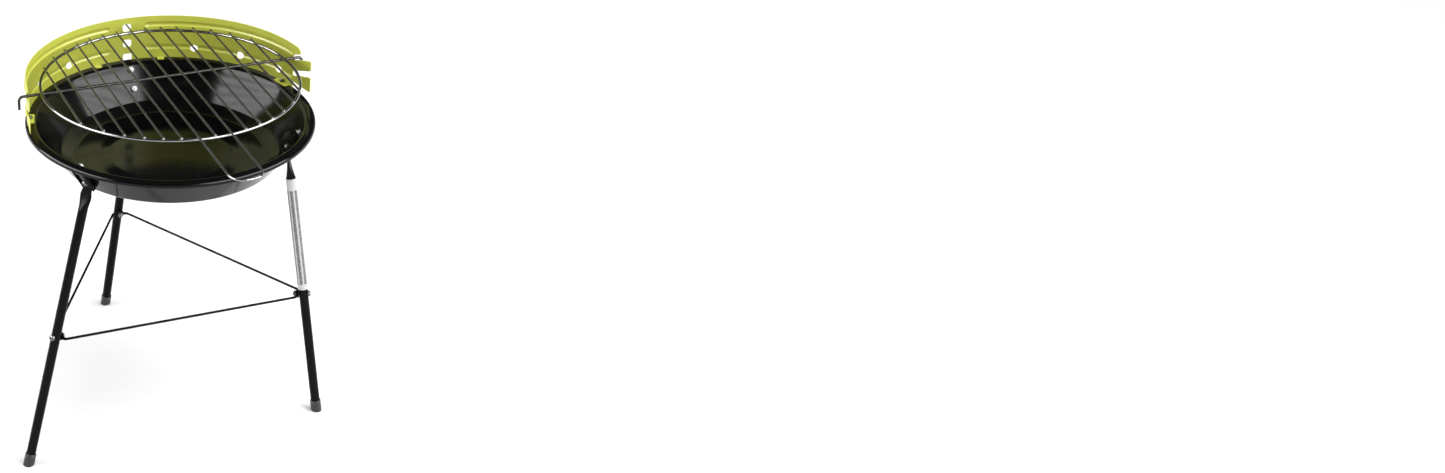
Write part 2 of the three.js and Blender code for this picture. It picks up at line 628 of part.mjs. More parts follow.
function footCapSolid(line) {
  const length = CAP_HEIGHT + CAP_DIAMETER;
  const bore = TUBE_DIAMETER / 2 + GAP;
  const profile = [
    [0, -length], [CAP_DIAMETER / 2, -length], [CAP_DIAMETER / 2, CAP_HEIGHT - CAP_FLOOR],
    [bore, CAP_HEIGHT - CAP_FLOOR], [bore, -GAP], [0, -GAP],
  ].map(([r, z]) => new THREE.Vector2(r, z));
  const geometry = new THREE.LatheGeometry(profile, TUBE_SIDES);
  geometry.applyQuaternion(new THREE.Quaternion().setFromUnitVectors(SIDEWAYS, line.up));
  geometry.translate(...line.sole.toArray());
  const ground = new THREE.BoxGeometry(CAP_DIAMETER * 6, CAP_DIAMETER * 6, length * 2);
  ground.translate(line.sole.x, line.sole.y, -RIM_HEIGHT - length);
  return toSolid(geometry).subtract(toSolid(ground));
}

// A channel that the leg's tongue lies in, with its web against the bowl.
function bracketSolid() {
  const inner = TONGUE_WIDTH / 2 + CHANNEL_PLAY;
  const outer = inner + SHEET;
  const profile = [
    [-outer, 0], [outer, 0], [outer, CHANNEL_FLANGE], [inner, CHANNEL_FLANGE],
    [inner, SHEET], [-inner, SHEET], [-inner, CHANNEL_FLANGE], [-outer, CHANNEL_FLANGE],
  ].map(([y, out]) => new THREE.Vector2(y, out));
  const top = onWall(CHANNEL_TOP, SHEET + GAP);
  const end = onWall(CHANNEL_END, SHEET + GAP);
  const geometry = extrude(new THREE.Shape(profile), top.distanceTo(end));
  const wallUp = inRadialPlane(WALL_DOWN.clone().negate());
  geometry.applyMatrix4(new THREE.Matrix4().makeBasis(SIDEWAYS, inRadialPlane(WALL_OUT), wallUp));
  geometry.translate(...inRadialPlane(end).toArray());
  let solid = toSolid(geometry);
  for (const depth of BRACKET_BOLT_DEPTHS) {
    const inside = inRadialPlane(onWall(depth, 0));
    solid = drill(solid, inside, inRadialPlane(onWall(depth, SHEET * 4)), LARGE_BOLT.hole);
  }
  return solid;
}

function labelSolid(line) {
  const bore = TUBE_DIAMETER / 2 + GAP;
  const end = line.braceDown - LABEL_ABOVE_BRACE;
  const length = end - SPOON_LENGTH - LABEL_PAST_SPOON;
  const profile = [[bore, 0], [bore + LABEL_FILM, 0], [bore + LABEL_FILM, length], [bore, length], [bore, 0]];
  const geometry = new THREE.LatheGeometry(profile.map(([r, z]) => new THREE.Vector2(r, z)), TUBE_SIDES);
  geometry.applyQuaternion(new THREE.Quaternion().setFromUnitVectors(SIDEWAYS, line.up));
  geometry.translate(...line.at(end, 0).toArray());
  return toSolid(geometry);
}

function legGroup(name, angle) {
  const group = new THREE.Group();
  const line = legLine(angle);
  group.rotation.z = degrees(angle);
  group.add(toMesh(`leg_${name}`, legSolid(line), legPaint));
  group.add(toMesh(`foot_cap_${name}`, footCapSolid(line), capPlastic));
  group.add(toMesh(`bracket_${name}`, bracketSolid(), legPaint));
  BRACKET_BOLT_DEPTHS.forEach((depth, i) => {
    const headOut = TONGUE_OFFSET + TONGUE_THICKNESS / 2 + GAP;
    const place = inRadialPlane(onWall(depth, headOut));
    const part = `bracket_${name}_${i === 0 ? 'upper' : 'lower'}`;
    group.add(...fastener(part, LARGE_BOLT, place, inRadialPlane(WALL_OUT), headOut + GAP));
  });
  const half = TUBE_DIAMETER / 2 + GAP;
  const grip = half * 2 + (EYELET_SHEET + GAP) * 2;
  group.add(...fastener(`brace_${name}`, LARGE_BOLT, line.at(line.braceDown, half), line.out, grip));
  if (name === 'right') group.add(toMesh('leg_label', labelSolid(line), labelFilm));
  return group;
}

// ---- braces: a rod between two legs with a flattened eyelet at each end ----
// The layer says which of the two eyelets on a bolt it is; the side is the way the rod leaves.
function eyelet(angle, layer, side) {
  const line = legLine(angle);
  const out = -(TUBE_DIAMETER / 2 + GAP + layer * (EYELET_SHEET + GAP));
  const shape = new THREE.Shape();
  const half = EYELET_NECK_WIDTH / 2;
  const lift = Math.asin(half / EYELET_RADIUS);
  shape.moveTo(EYELET_NECK, -half);
  shape.lineTo(EYELET_NECK, half);
  shape.absarc(0, 0, EYELET_RADIUS, lift, 2 * Math.PI - lift, false);
  const hole = new THREE.Path();
  hole.absarc(0, 0, LARGE_BOLT.hole / 2, 0, 2 * Math.PI, true);
  shape.holes.push(hole);
  const geometry = extrude(shape, EYELET_SHEET);
  if (side < 0) geometry.rotateZ(Math.PI);
  geometry.applyMatrix4(new THREE.Matrix4().makeBasis(line.side, line.down, line.out.clone().negate()));
  geometry.translate(...line.at(line.braceDown, out).toArray());
  geometry.rotateZ(degrees(angle));
  const neck = line.at(line.braceDown, out - EYELET_SHEET / 2, side * (EYELET_NECK - half));
  return { solid: toSolid(geometry), neck: neck.applyAxisAngle(UP, degrees(angle)) };
}

function brace(from, to) {
  const start = eyelet(LEG_ANGLES[from], 0, 1);
  const end = eyelet(LEG_ANGLES[to], 1, -1);
  const bar = rod(start.neck, end.neck, BRACE_ROD / 2);
  return toMesh(`brace_${from}_${to}`, bar.add(start.solid).add(end.solid), legPaint);
}

// ---- assembly ----
const grill = new THREE.Group();
const upper = new THREE.Group();
upper.position.z = RIM_HEIGHT;
upper.add(bowl(), windshield(), ...windshieldFasteners(), crossbar(), gridRing(), ...gridWires(), gridHandle());
for (const [name, angle] of Object.entries(LEG_ANGLES)) upper.add(legGroup(name, angle));
upper.add(brace('back', 'left'), brace('left', 'right'), brace('right', 'back'));
grill.add(upper);
grill.updateMatrixWorld(true);
const footprint = new THREE.Box3().setFromObject(grill, true).getCenter(new THREE.Vector3());
upper.position.x -= footprint.x;
upper.position.y -= footprint.y;

export default grill;
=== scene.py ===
from math import atan2, ceil, cos, hypot, pi, radians, sin, sqrt, tan

import bmesh
import bpy
from bpy.props import FloatProperty, FloatVectorProperty, IntProperty, PointerProperty
from mathutils import Matrix, Vector


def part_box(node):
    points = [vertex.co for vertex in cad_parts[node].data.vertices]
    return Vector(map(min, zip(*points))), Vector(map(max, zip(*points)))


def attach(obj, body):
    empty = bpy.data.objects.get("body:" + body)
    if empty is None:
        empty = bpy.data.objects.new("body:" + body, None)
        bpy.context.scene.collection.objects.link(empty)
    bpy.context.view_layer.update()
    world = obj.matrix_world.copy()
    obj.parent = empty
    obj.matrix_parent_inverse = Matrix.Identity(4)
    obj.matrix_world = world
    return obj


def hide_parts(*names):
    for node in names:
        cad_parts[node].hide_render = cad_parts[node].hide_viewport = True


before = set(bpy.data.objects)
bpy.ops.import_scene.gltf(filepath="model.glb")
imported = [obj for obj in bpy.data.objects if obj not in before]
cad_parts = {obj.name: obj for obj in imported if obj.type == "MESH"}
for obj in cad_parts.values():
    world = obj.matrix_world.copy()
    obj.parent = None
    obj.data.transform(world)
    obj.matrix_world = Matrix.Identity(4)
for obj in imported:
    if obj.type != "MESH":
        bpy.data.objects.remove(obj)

bl_info = {
    "name": "Tripod charcoal grill",
    "version": (1, 0, 0),
    "blender": (4, 5, 0),
    "location": "3D View > Sidebar > Grill",
    "description": "Builds a round charcoal grill on a braced tripod around its packed frame",
    "category": "Object",
}

MM = 0.001
UP = Vector((0, 0, 1))
SIDES = ("back", "left", "right")
BRACES = (("back", "left"), ("left", "right"), ("right", "back"))
HEIGHTS = ("upper", "lower")
VIEW = (-18.777, 29.848)  # azimuth and elevation of the camera, in degrees
ARM_GAP = 0.3 * MM  # clearance between pieces that are bolted together


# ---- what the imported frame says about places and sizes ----
def node_points(node):
    """The corners of a CAD node's mesh."""
    return [vertex.co.copy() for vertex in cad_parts[node].data.vertices]


def middle(points):
    """The mean of some points."""
    return sum(points, Vector()) / len(points)


def box_middle(node):
    """The centre of a CAD node's box."""
    low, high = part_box(node)
    return (low + high) / 2


BOWL_LOW, BOWL_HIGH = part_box("bowl")
RIM_RADIUS = (BOWL_HIGH.x - BOWL_LOW.x) / 2
RIM_CENTRE = Vector((box_middle("bowl").x, box_middle("bowl").y, BOWL_HIGH.z))
SHIELD_LOW, SHIELD_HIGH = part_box("windshield")


class BoltPlace:
    """Where a bolt sits: its head's seat, the way its head faces, and its sizes."""

    def __init__(self, node):
        points = node_points(node)
        centre = middle(points)
        end = max(points, key=lambda point: (point - centre).length)
        axis = (end - centre).normalized()
        for _ in range(12):
            axis = sum(((p - centre) * (p - centre).dot(axis) for p in points), Vector()).normalized()
        away = [(p - centre - axis * (p - centre).dot(axis)).length for p in points]
        widest = max(away)
        rim = [(p - centre).dot(axis) for p, r in zip(points, away) if r > 0.95 * widest]
        along = [(p - centre).dot(axis) for p in points]
        brim = sum(rim) / len(rim)
        if abs(max(along)) + abs(brim - max(along)) > abs(min(along)) + abs(brim - min(along)):
            axis.negate()
            rim = [-t for t in rim]
            along = [-t for t in along]
        self.axis = axis
        self.seat = centre + axis * min(rim)
        self.head_radius = widest
        self.head_height = max(along) - min(rim)
        self.length = min(rim) - min(along)
        low = [r for r, t in zip(away, along) if t < min(rim) - 0.3 * self.length]
        self.shank_radius = max(low)


class LegLine:
    """The line of a leg's tube and the flat tongue that lies in its bracket."""

    def __init__(self, side):
        points = node_points(f"leg_{side}")
        lowest = min(point.z for point in points)
        end = [point for point in points if point.z < lowest + 4 * MM]
        self.sole = middle(end)
        self.radius = max((point - self.sole).length for point in end)
        brace_bolt = BoltPlace(f"brace_{side}_bolt")
        self.out = brace_bolt.axis
        self.brace = brace_bolt.seat - self.out * (self.radius + ARM_GAP)
        self.down = (self.sole - self.brace).normalized()
        self.out = (self.out - self.down * self.out.dot(self.down)).normalized()
        self.side = self.out.cross(self.down).normalized()
        upper, lower = (BoltPlace(f"bracket_{side}_{height}_bolt") for height in HEIGHTS)
        self.wall_out = lower.axis
        self.wall_up = (upper.seat - lower.seat).normalized()
        self.wall_side = self.wall_up.cross(self.wall_out)
        near = [p - upper.seat for p in points if (p - upper.seat).length < 14 * MM]
        depths = [ray.dot(self.wall_out) for ray in near]
        self.tongue_thick = max(depths) - min(depths)
        self.tongue_wide = 2 * max(abs(ray.dot(self.wall_side)) for ray in near)
        top = max(ray.dot(self.wall_up) for ray in near)
        inset = self.wall_out * (ARM_GAP + self.tongue_thick / 2)
        self.tongue_top = upper.seat + self.wall_up * top - inset
        plane = upper.seat - inset
        reach = (plane - self.brace).dot(self.wall_out) / self.down.dot(self.wall_out)
        self.knee = self.brace + self.down * reach

    def at(self, along, out=0.0, side=0.0):
        """A place on the leg: down from the knee, out and sideways from the tube's centre."""
        return self.knee + self.down * along + self.out * out + self.side * side


# ---- sizes and colours that can be changed ----
def length(name, description, default):
    """A size in metres."""
    return FloatProperty(name=name, description=description, default=default, unit="LENGTH", precision=4)


def colour(name, description, default):
    """A linear colour."""
    return FloatVectorProperty(
        name=name, description=description, default=default, size=3, min=0, max=1, subtype="COLOR"
    )


class GrillSizes(bpy.types.PropertyGroup):
    """Sizes of the grill's visible pieces."""

    sheet: length("Bowl sheet", "Thickness of the bowl's steel", 1.5 * MM)
    wall_top: length("Wall top radius", "Inside radius of the bowl's wall at the rim", 0.93 * RIM_RADIUS)
    wall_foot: length("Wall foot radius", "Inside radius where the wall ends", 0.765 * RIM_RADIUS)
    wall_depth: length("Wall depth", "Depth below the rim where the wall ends", 0.26 * RIM_RADIUS)
    floor_radius: length("Floor radius", "Radius of the bowl's flat floor", 0.67 * RIM_RADIUS)
    floor_depth: length("Floor depth", "Depth of the floor below the rim", 0.3 * RIM_RADIUS)
    floor_rise: length("Floor rise", "How far the middle of the floor is pressed up", 1.8 * MM)
    rise_radius: length("Rise radius", "Radius of the raised middle of the floor", 0.42 * RIM_RADIUS)
    rise_foot: length("Rise foot radius", "Radius where the raised middle meets the floor", 0.5 * RIM_RADIUS)
    bend: length("Bend radius", "Reach of the rounding at each bend of the bowl", 3.4 * MM)
    flange: length("Flange width", "Width of the flat rim", 0.06 * RIM_RADIUS)
    lip: length("Lip drop", "Drop of the rim's outer lip", 6 * MM)
    shield_sheet: length("Windshield sheet", "Thickness of the windshield's steel", 1.2 * MM)
    rib_height: length("Rib height", "Height of the windshield's pressed ribs", 7.5 * MM)
    rib_depth: length("Rib depth", "How far the ribs are pressed outwards", 1.7 * MM)
    vent: length("Vent diameter", "Diameter of the windshield's round vents", 11 * MM)
    weld: length("Weld size", "Width of the welds of the cooking grid", 4.6 * MM)
    recess: length("Recess size", "Width of the cross recess in the bolt heads", 4.6 * MM)
    dish: length("Spoon dish", "How deep the flattened tops of the legs are dished", 1.0 * MM)
    lathe_steps: IntProperty(name="Lathe steps", description="Steps around the bowl", default=160, min=24)
    rod_sides: IntProperty(name="Rod sides", description="Sides of each wire and rod", default=16, min=6)


class GrillColours(bpy.types.PropertyGroup):
    """Colours of the grill's finishes."""

    enamel: colour("Enamel", "Bowl enamel", (0.0022, 0.0022, 0.0024))
    shield: colour("Windshield", "Windshield powder coat", (0.56, 0.59, 0.075))
    paint: colour("Leg paint", "Paint of the legs, brackets and braces", (0.004, 0.004, 0.0045))
    wire: colour("Grid wire", "Bright plated wire of the cooking grid", (0.3, 0.3, 0.3))
    bar: colour("Crossbar", "Dull steel of the crossbar", (0.06, 0.057, 0.054))
    zinc: colour("Zinc", "Zinc plate of the bolts and nuts", (0.16, 0.16, 0.157))
    cap: colour("Foot caps", "Moulded plastic of the foot caps", (0.012, 0.012, 0.013))
    film: colour("Label film", "Film of the label sleeve", (0.5, 0.5, 0.51))
    print: colour("Label print", "Print of the label sleeve", (0.03, 0.03, 0.035))
    floor: colour("Floor", "Studio floor", (0.86, 0.86, 0.86))


# ---- mesh helpers ----
def round_turns(count, start=0.0):
    """Even turns around a circle, in radians."""
    return [start + 2 * pi * k / count for k in range(count)]


def ease(share):
    """A share held between 0 and 1, slow at both ends."""
    share = max(0.0, min(1.0, share))
    return share * share * (3 - 2 * share)


def rounded(points, radius, steps=5):
    """A polyline with its inner corners rounded by short curves."""
    result = [Vector(points[0])]
    for before, corner, after in zip(points, points[1:], points[2:]):
        corner = Vector(corner)
        back, ahead = Vector(before) - corner, Vector(after) - corner
        reach = min(radius, back.length * 0.45, ahead.length * 0.45)
        start = corner + back.normalized() * reach
        end = corner + ahead.normalized() * reach
        for i in range(steps + 1):
            t = i / steps
            result.append(start * (1 - t) ** 2 + corner * 2 * t * (1 - t) + end * t * t)
    result.append(Vector(points[-1]))
    return result


def ring_mesh(rings, closed_round=False, lids=True):
    """A skin over rings of points with equal counts. The first and last ring get lids or meet each other."""
    bm = bmesh.new()
    loops = [[bm.verts.new(point) for point in ring] for ring in rings]
    pairs = list(zip(loops, loops[1:]))
    if closed_round:
        pairs.append((loops[-1], loops[0]))
    for low, high in pairs:
        for i in range(len(low)):
            j = (i + 1) % len(low)
            bm.faces.new((low[i], low[j], high[j], high[i]))
    if lids and not closed_round:
        bm.faces.new(list(reversed(loops[0])))
        bm.faces.new(loops[-1])
    bmesh.ops.recalc_face_normals(bm, faces=bm.faces)
    return bm


ON_AXIS = 1e-7  # a smaller radius is a point on the axis


def lathe(profile, steps, place=None):
    """A closed outline of (radius, height) points turned about Z, then put in place."""
    bm = bmesh.new()
    count = len(profile)
    rows = []
    for r, z in profile:
        if r < ON_AXIS:
            rows.append([bm.verts.new((0, 0, z))] * steps)
        else:
            rows.append([bm.verts.new((r * cos(a), r * sin(a), z)) for a in round_turns(steps)])
    for i in range(count):
        low, high = rows[i], rows[(i + 1) % count]
        for k in range(steps):
            j = (k + 1) % steps
            corners = []
            for vertex in (low[k], low[j], high[j], high[k]):
                if vertex not in corners:
                    corners.append(vertex)
            if len(corners) > 2:
                bm.faces.new(corners)
    bmesh.ops.recalc_face_normals(bm, faces=bm.faces)
    if place is not None:
        bm.transform(place)
    return bm


def shell_outline(line, thickness):
    """The closed outline of a sheet from the line of its upper face."""
    under = []
    for i, point in enumerate(line):
        before = line[max(i - 1, 0)]
        after = line[min(i + 1, len(line) - 1)]
        along = (after - before).normalized()
        under.append(point + Vector((along.y, -along.x)) * thickness)
    under[0].x = max(line[0].x, 0)
    return [tuple(point) for point in line] + [tuple(point) for point in reversed(under)]


def guide_for(axis):
    """A way that is well off an axis."""
    return UP if abs(axis.z) < 0.9 else Vector((1, 0, 0))


def axes_at(place, across, up, axis):
    """A matrix that puts the origin at a place and lays X, Y and Z along three ways."""
    return Matrix.Translation(place) @ Matrix((across, up, axis)).transposed().to_4x4()


def frame_at(place, axis, towards=None):
    """A matrix that puts the origin at a place and turns +Z along an axis."""
    axis = axis.normalized()
    across = (towards or guide_for(axis)).cross(axis).normalized()
    return axes_at(place, across, axis.cross(across), axis)


END_STEP, END_SHARE = 0.25, 0.72  # a rod's bevelled end: how far it stands out and how wide it is left


def sweep(points, radius, sides, closed_round=False):
    """A round rod along a line of points, with bevelled ends unless it closes."""
    count = len(points)
    rings = []
    across = None
    for i, point in enumerate(points):
        if closed_round:
            along = (points[(i + 1) % count] - points[i - 1]).normalized()
        else:
            along = (points[min(i + 1, count - 1)] - points[max(i - 1, 0)]).normalized()
        if across is None:
            across = guide_for(along).cross(along).normalized()
        across = (across - along * across.dot(along)).normalized()
        up = along.cross(across)
        ring = [point + (across * cos(a) + up * sin(a)) * radius for a in round_turns(sides)]
        if not closed_round and i in (0, count - 1):
            step = -along if i == 0 else along
            bevel = [point + step * radius * END_STEP + (p - point) * END_SHARE for p in ring]
            rings += [bevel, ring] if i == 0 else [ring, bevel]
        else:
            rings.append(ring)
    return ring_mesh(rings, closed_round)


def prism(outline, low, high, place):
    """A closed outline of (x, y) points extruded along Z from low to high, then put in place."""
    return ring_mesh([[place @ Vector((x, y, z)) for x, y in outline] for z in (low, high)])


def joined(*parts):
    """One mesh of several closed bodies."""
    whole = bmesh.new()
    for part in parts:
        mesh = bpy.data.meshes.new("part")
        part.to_mesh(mesh)
        part.free()
        whole.from_mesh(mesh)
        bpy.data.meshes.remove(mesh)
    return whole


def carved(body, *cutters):
    """The body with the cutters taken out of it."""
    holders = []
    for label, bm in (("body", body), ("cutter", joined(*cutters))):
        mesh = bpy.data.meshes.new(label)
        bm.to_mesh(mesh)
        bm.free()
        holders.append(bpy.data.objects.new(label, mesh))
        bpy.context.scene.collection.objects.link(holders[-1])
    target, tool = holders
    cut = target.modifiers.new("cut", "BOOLEAN")
    cut.operation = "DIFFERENCE"
    cut.solver = "EXACT"
    cut.object = tool
    graph = bpy.context.evaluated_depsgraph_get()
    mesh = bpy.data.meshes.new_from_object(target.evaluated_get(graph))
    result = bmesh.new()
    result.from_mesh(mesh)
    for holder in holders:
        old = holder.data
        bpy.data.objects.remove(holder)
        bpy.data.meshes.remove(old)
    bpy.data.meshes.remove(mesh)
    return result


def piece(name, bm, finish, body, nodes, sharp=38):
    """Makes a visible piece that stands for some CAD nodes and moves with a body."""
    mesh = bpy.data.meshes.new(name)
    bm.to_mesh(mesh)
    bm.free()
    mesh.materials.append(finish)
    mesh.shade_smooth()
    mesh.set_sharp_from_angle(angle=radians(sharp))
    obj = bpy.data.objects.new(name, mesh)
    bpy.context.scene.collection.objects.link(obj)
    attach(obj, body)
    if nodes:
        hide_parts(*nodes)
    return obj


# ---- finishes ----
class Number:
    """A number that varies over a surface. Arithmetic on it adds Math nodes."""

    def __init__(self, nodes, socket):
        self.nodes = nodes
        self.socket = socket

    def combine(self, operation, other):
        """A Math node of this number and another."""
        node = self.nodes.add("ShaderNodeMath", {"operation": operation}, {0: self, 1: other})
        return Number(self.nodes, node.outputs[0])

    def __add__(self, other):
        return self.combine("ADD", other)

    def __mul__(self, other):
        return self.combine("MULTIPLY", other)

    def __mod__(self, other):
        return self.combine("FLOORED_MODULO", other)

    def __gt__(self, other):
        return self.combine("GREATER_THAN", other)

    def __lt__(self, other):
        return self.combine("LESS_THAN", other)

    __radd__ = __add__
    __rmul__ = __mul__


class Nodes:
    """The node tree of a material or world, filled through one method."""

    def __init__(self, owner):
        owner.use_nodes = True
        self.tree = owner.node_tree

    def own(self, kind):
        """The node of a kind that the tree has from the start."""
        return next(node for node in self.tree.nodes if node.type == kind)

    def add(self, kind, settings=None, sockets=None):
        """Adds a node with its settings, such as a ramp's stops, then its values and links."""
        node = self.tree.nodes.new(kind)
        for key, value in (settings or {}).items():
            if key == "stops":
                for stop, (place, shade) in zip(node.color_ramp.elements, value):
                    stop.position, stop.color = place, (shade, shade, shade, 1)
            else:
                setattr(node, key, value)
        for key, value in (sockets or {}).items():
            self.feed(node.inputs[key], value)
        return node

    def feed(self, socket, value):
        """Sets a socket's value or links it."""
        if isinstance(value, Number):
            value = value.socket
        if isinstance(value, bpy.types.NodeSocket):
            self.tree.links.new(value, socket)
        else:
            socket.default_value = value


class Finish(Nodes):
    """A Principled material whose look varies a little over the surface."""

    def __init__(self, name, base, roughness, metallic=0.0, specular=None):
        self.material = bpy.data.materials.new(name)
        super().__init__(self.material)
        self.material.diffuse_color = (*base, 1)
        self.shader = self.own("BSDF_PRINCIPLED")
        self.base = tuple(base)
        self.vary("Base Color", (*base, 1))
        self.vary("Roughness", roughness)
        self.vary("Metallic", metallic)
        if specular is not None:
            self.vary("Specular IOR Level", specular)

    def noise(self, scale, detail=2.0, stretch=None):
        """Noise from 0 to 1 over the piece, with that many waves in a metre."""
        where = self.add("ShaderNodeTexCoord").outputs["Object"]
        if stretch is not None:
            sized = self.add("ShaderNodeVectorMath", {"operation": "MULTIPLY"}, {0: where, 1: stretch})
            where = sized.outputs["Vector"]
        node = self.add("ShaderNodeTexNoise", None, {"Vector": where, "Scale": scale, "Detail": detail})
        return Number(self, node.outputs["Fac"])

    def vary(self, socket, value):
        """Gives the shader a value, or a number or colour that varies."""
        self.feed(self.shader.inputs[socket], value)

    def tint(self, mask, other):
        """Mixes the base colour with another one where the mask is 1."""
        colours = {"Factor": mask, 6: (*self.base, 1), 7: (*other, 1)}
        mix = self.add("ShaderNodeMix", {"data_type": "RGBA"}, colours)
        self.vary("Base Color", mix.outputs[2])

    def bump(self, height, distance):
        """Roughens the surface by a height in metres."""
        node = self.add("ShaderNodeBump", None, {"Height": height, "Distance": distance, "Strength": 1.0})
        self.vary("Normal", node.outputs["Normal"])


def darker(base, share):
    """A colour scaled by a share."""
    return tuple(channel * share for channel in base)


def enamel_finish(base):
    """Glossy enamel with a faint ripple."""
    finish = Finish("glossy_enamel", base, 0.14, specular=0.17)
    finish.vary("Roughness", finish.noise(26) * 0.04 + 0.1)
    finish.bump(finish.noise(60, 1.0), 0.00002)
    return finish.material


def shield_finish(base):
    """Satin powder coat with a fine texture."""
    finish = Finish("lime_powder_coat", base, 0.36)
    finish.tint(finish.noise(9) * 0.35, darker(base, 0.86))
    finish.vary("Roughness", finish.noise(60) * 0.1 + 0.3)
    finish.bump(finish.noise(1500, 2.0), 0.00004)
    return finish.material


def leg_finish(base):
    """Semi-gloss black paint."""
    finish = Finish("black_paint", base, 0.3, specular=0.06)
    finish.vary("Roughness", finish.noise(35) * 0.1 + 0.15)
    finish.bump(finish.noise(700, 2.0), 0.00002)
    return finish.material


def wire_finish(base):
    """Bright plating, duller in patches."""
    finish = Finish("bright_plated_wire", base, 0.2, metallic=1.0)
    finish.tint(finish.noise(40) * 0.7, darker(base, 0.68))
    finish.vary("Roughness", finish.noise(60) * 0.08 + 0.12)
    return finish.material


def bar_finish(base):
    """Dull drawn steel with fine lines along the rod."""
    finish = Finish("drawn_steel", base, 0.34, metallic=1.0)
    finish.tint(finish.noise(30) * 0.6, darker(base, 0.5))
    finish.vary("Roughness", finish.noise(260, 2.0, (0.08, 1, 1)) * 0.2 + 0.24)
    return finish.material


def zinc_finish(base):
    """Zinc plate with a cloudy sheen."""
    finish = Finish("zinc_plate", base, 0.3, metallic=1.0)
    finish.tint(finish.noise(220) * 0.5, darker(base, 0.75))
    finish.vary("Roughness", finish.noise(300) * 0.2 + 0.2)
    return finish.material


def cap_finish(base):
    """Moulded black plastic with a fine grain."""
    finish = Finish("moulded_plastic", base, 0.45)
    finish.vary("Roughness", finish.noise(120) * 0.12 + 0.38)
    finish.bump(finish.noise(1800, 2.0), 0.00005)
    return finish.material


def label_finish(base, ink):
    """Pale film with broken bars of print that run down the leg."""
    finish = Finish("label_film", base, 0.3)
    where = finish.add("ShaderNodeTexCoord").outputs["UV"]
    split = finish.add("ShaderNodeSeparateXYZ", None, {0: where})
    across, along = (Number(finish, split.outputs[axis]) for axis in ("X", "Y"))
    bars = (across * 7 + 0.17) % 1 < 0.66
    spots = finish.add("ShaderNodeCombineXYZ", None, {"X": across * 50, "Y": along * 140}).outputs[0]
    marks = finish.add("ShaderNodeTexNoise", None, {"Vector": spots, "Scale": 1.0, "Detail": 1.0})
    inked = Number(finish, marks.outputs["Fac"]) > 0.42
    inside = (along > 0.1) * (along < 0.95)
    finish.tint(bars * inked * inside * 0.92, ink)
    return finish.material


def floor_finish(base):
    """Matt studio floor."""
    return Finish("studio_floor", base, 0.9, specular=0.1).material


# ---- bowl and windshield ----
def bowl_outline(sizes):
    """The bowl's sheet as a closed outline of (radius, height) below and above the rim's plane."""
    floor, rise = -sizes.floor_depth, sizes.floor_rise - sizes.floor_depth
    slope = (sizes.wall_top - sizes.wall_foot) / sizes.wall_depth
    roll, flat = -2.4 * MM, -0.2 * MM
    corners = [
        (0, rise), (sizes.rise_radius, rise), (sizes.rise_foot, floor),
        (sizes.floor_radius, floor), (sizes.wall_foot, -sizes.wall_depth),
        (sizes.wall_top + slope * roll, roll), (RIM_RADIUS - sizes.flange, flat),
        (RIM_RADIUS - 2 * MM, flat), (RIM_RADIUS, roll), (RIM_RADIUS, -sizes.lip),
    ]
    line = rounded([Vector(corner) for corner in corners], sizes.bend, 4)
    return shell_outline(line, sizes.sheet)


ARC_START = radians(10)  # where the windshield's arc gives way to its straight ends
RIB_RISE = 1 * MM  # how far the ribs of the CAD windshield stand out
RIB_CENTRES = (17 * MM, 53 * MM)
RIB_START, RIB_END = radians(8), radians(81)
RIB_SLOPE = 0.6  # share of a rib's half height that slopes
BAR_STEP = 24.5 * MM  # from the crossbar's upper notches down to the lower ones
BAR_RISE = radians(20)  # slope of the notches
SLOT_BELOW, SLOT_ABOVE = 9.5 * MM, 2.2 * MM  # reach of a back opening from the prong's middle
SLOT_HALF, SLOT_ROUND, LOW_SLOT_TOP = 6.5 * MM, 4.3 * MM, 10 * MM
VENT_ANGLES = (19, 40, 61, 119, 140, 161)
VENT_HEIGHT, VENT_REACH = 15.5 * MM, 9 * MM
FOOT_ANGLES, FOOT_ARC = (15, 165), 8
CLAW_ANGLES, CLAW_ARC = (75.5, 104.5), 3


def shield_path(radius, step):
    """Places along the windshield's band in plan, with the way out and the distance from its middle."""
    tip = SHIELD_LOW.y - RIM_CENTRE.y
    reach = (radius * sin(ARC_START) - tip) / cos(ARC_START)
    arc = radius * (pi / 2 - ARC_START)
    steps = ceil((arc + reach) / step)
    stations = []
    for i in range(-steps, steps + 1):
        s = (arc + reach) * i / steps
        turn = max(-arc, min(arc, s)) / radius
        angle = pi / 2 - turn
        out = Vector((cos(angle), sin(angle), 0))
        along = Vector((sin(angle), -cos(angle), 0))
        stations.append((out * radius + along * (s - turn * radius), out, s))
    return stations


def rib_push(s, height, sizes, radius):
    """How far the windshield's sheet is pressed outwards at a place."""
    half = sizes.rib_height / 2
    beyond = max(radius * RIB_START + half - abs(s), abs(s) - radius * RIB_END + half, 0)
    away = min(hypot(beyond, height - centre) for centre in RIB_CENTRES)
    return sizes.rib_depth * ease((1 - away / half) / RIB_SLOPE)


def curve(start, control, end, steps=5):
    """Points of a short curve after its start."""
    points = []
    for i in range(1, steps + 1):
        t = i / steps
        shares = (1 - t) ** 2, 2 * t * (1 - t), t * t
        places = zip(start, control, end)
        points.append(tuple(sum(x * share for x, share in zip(place, shares)) for place in places))
    return points


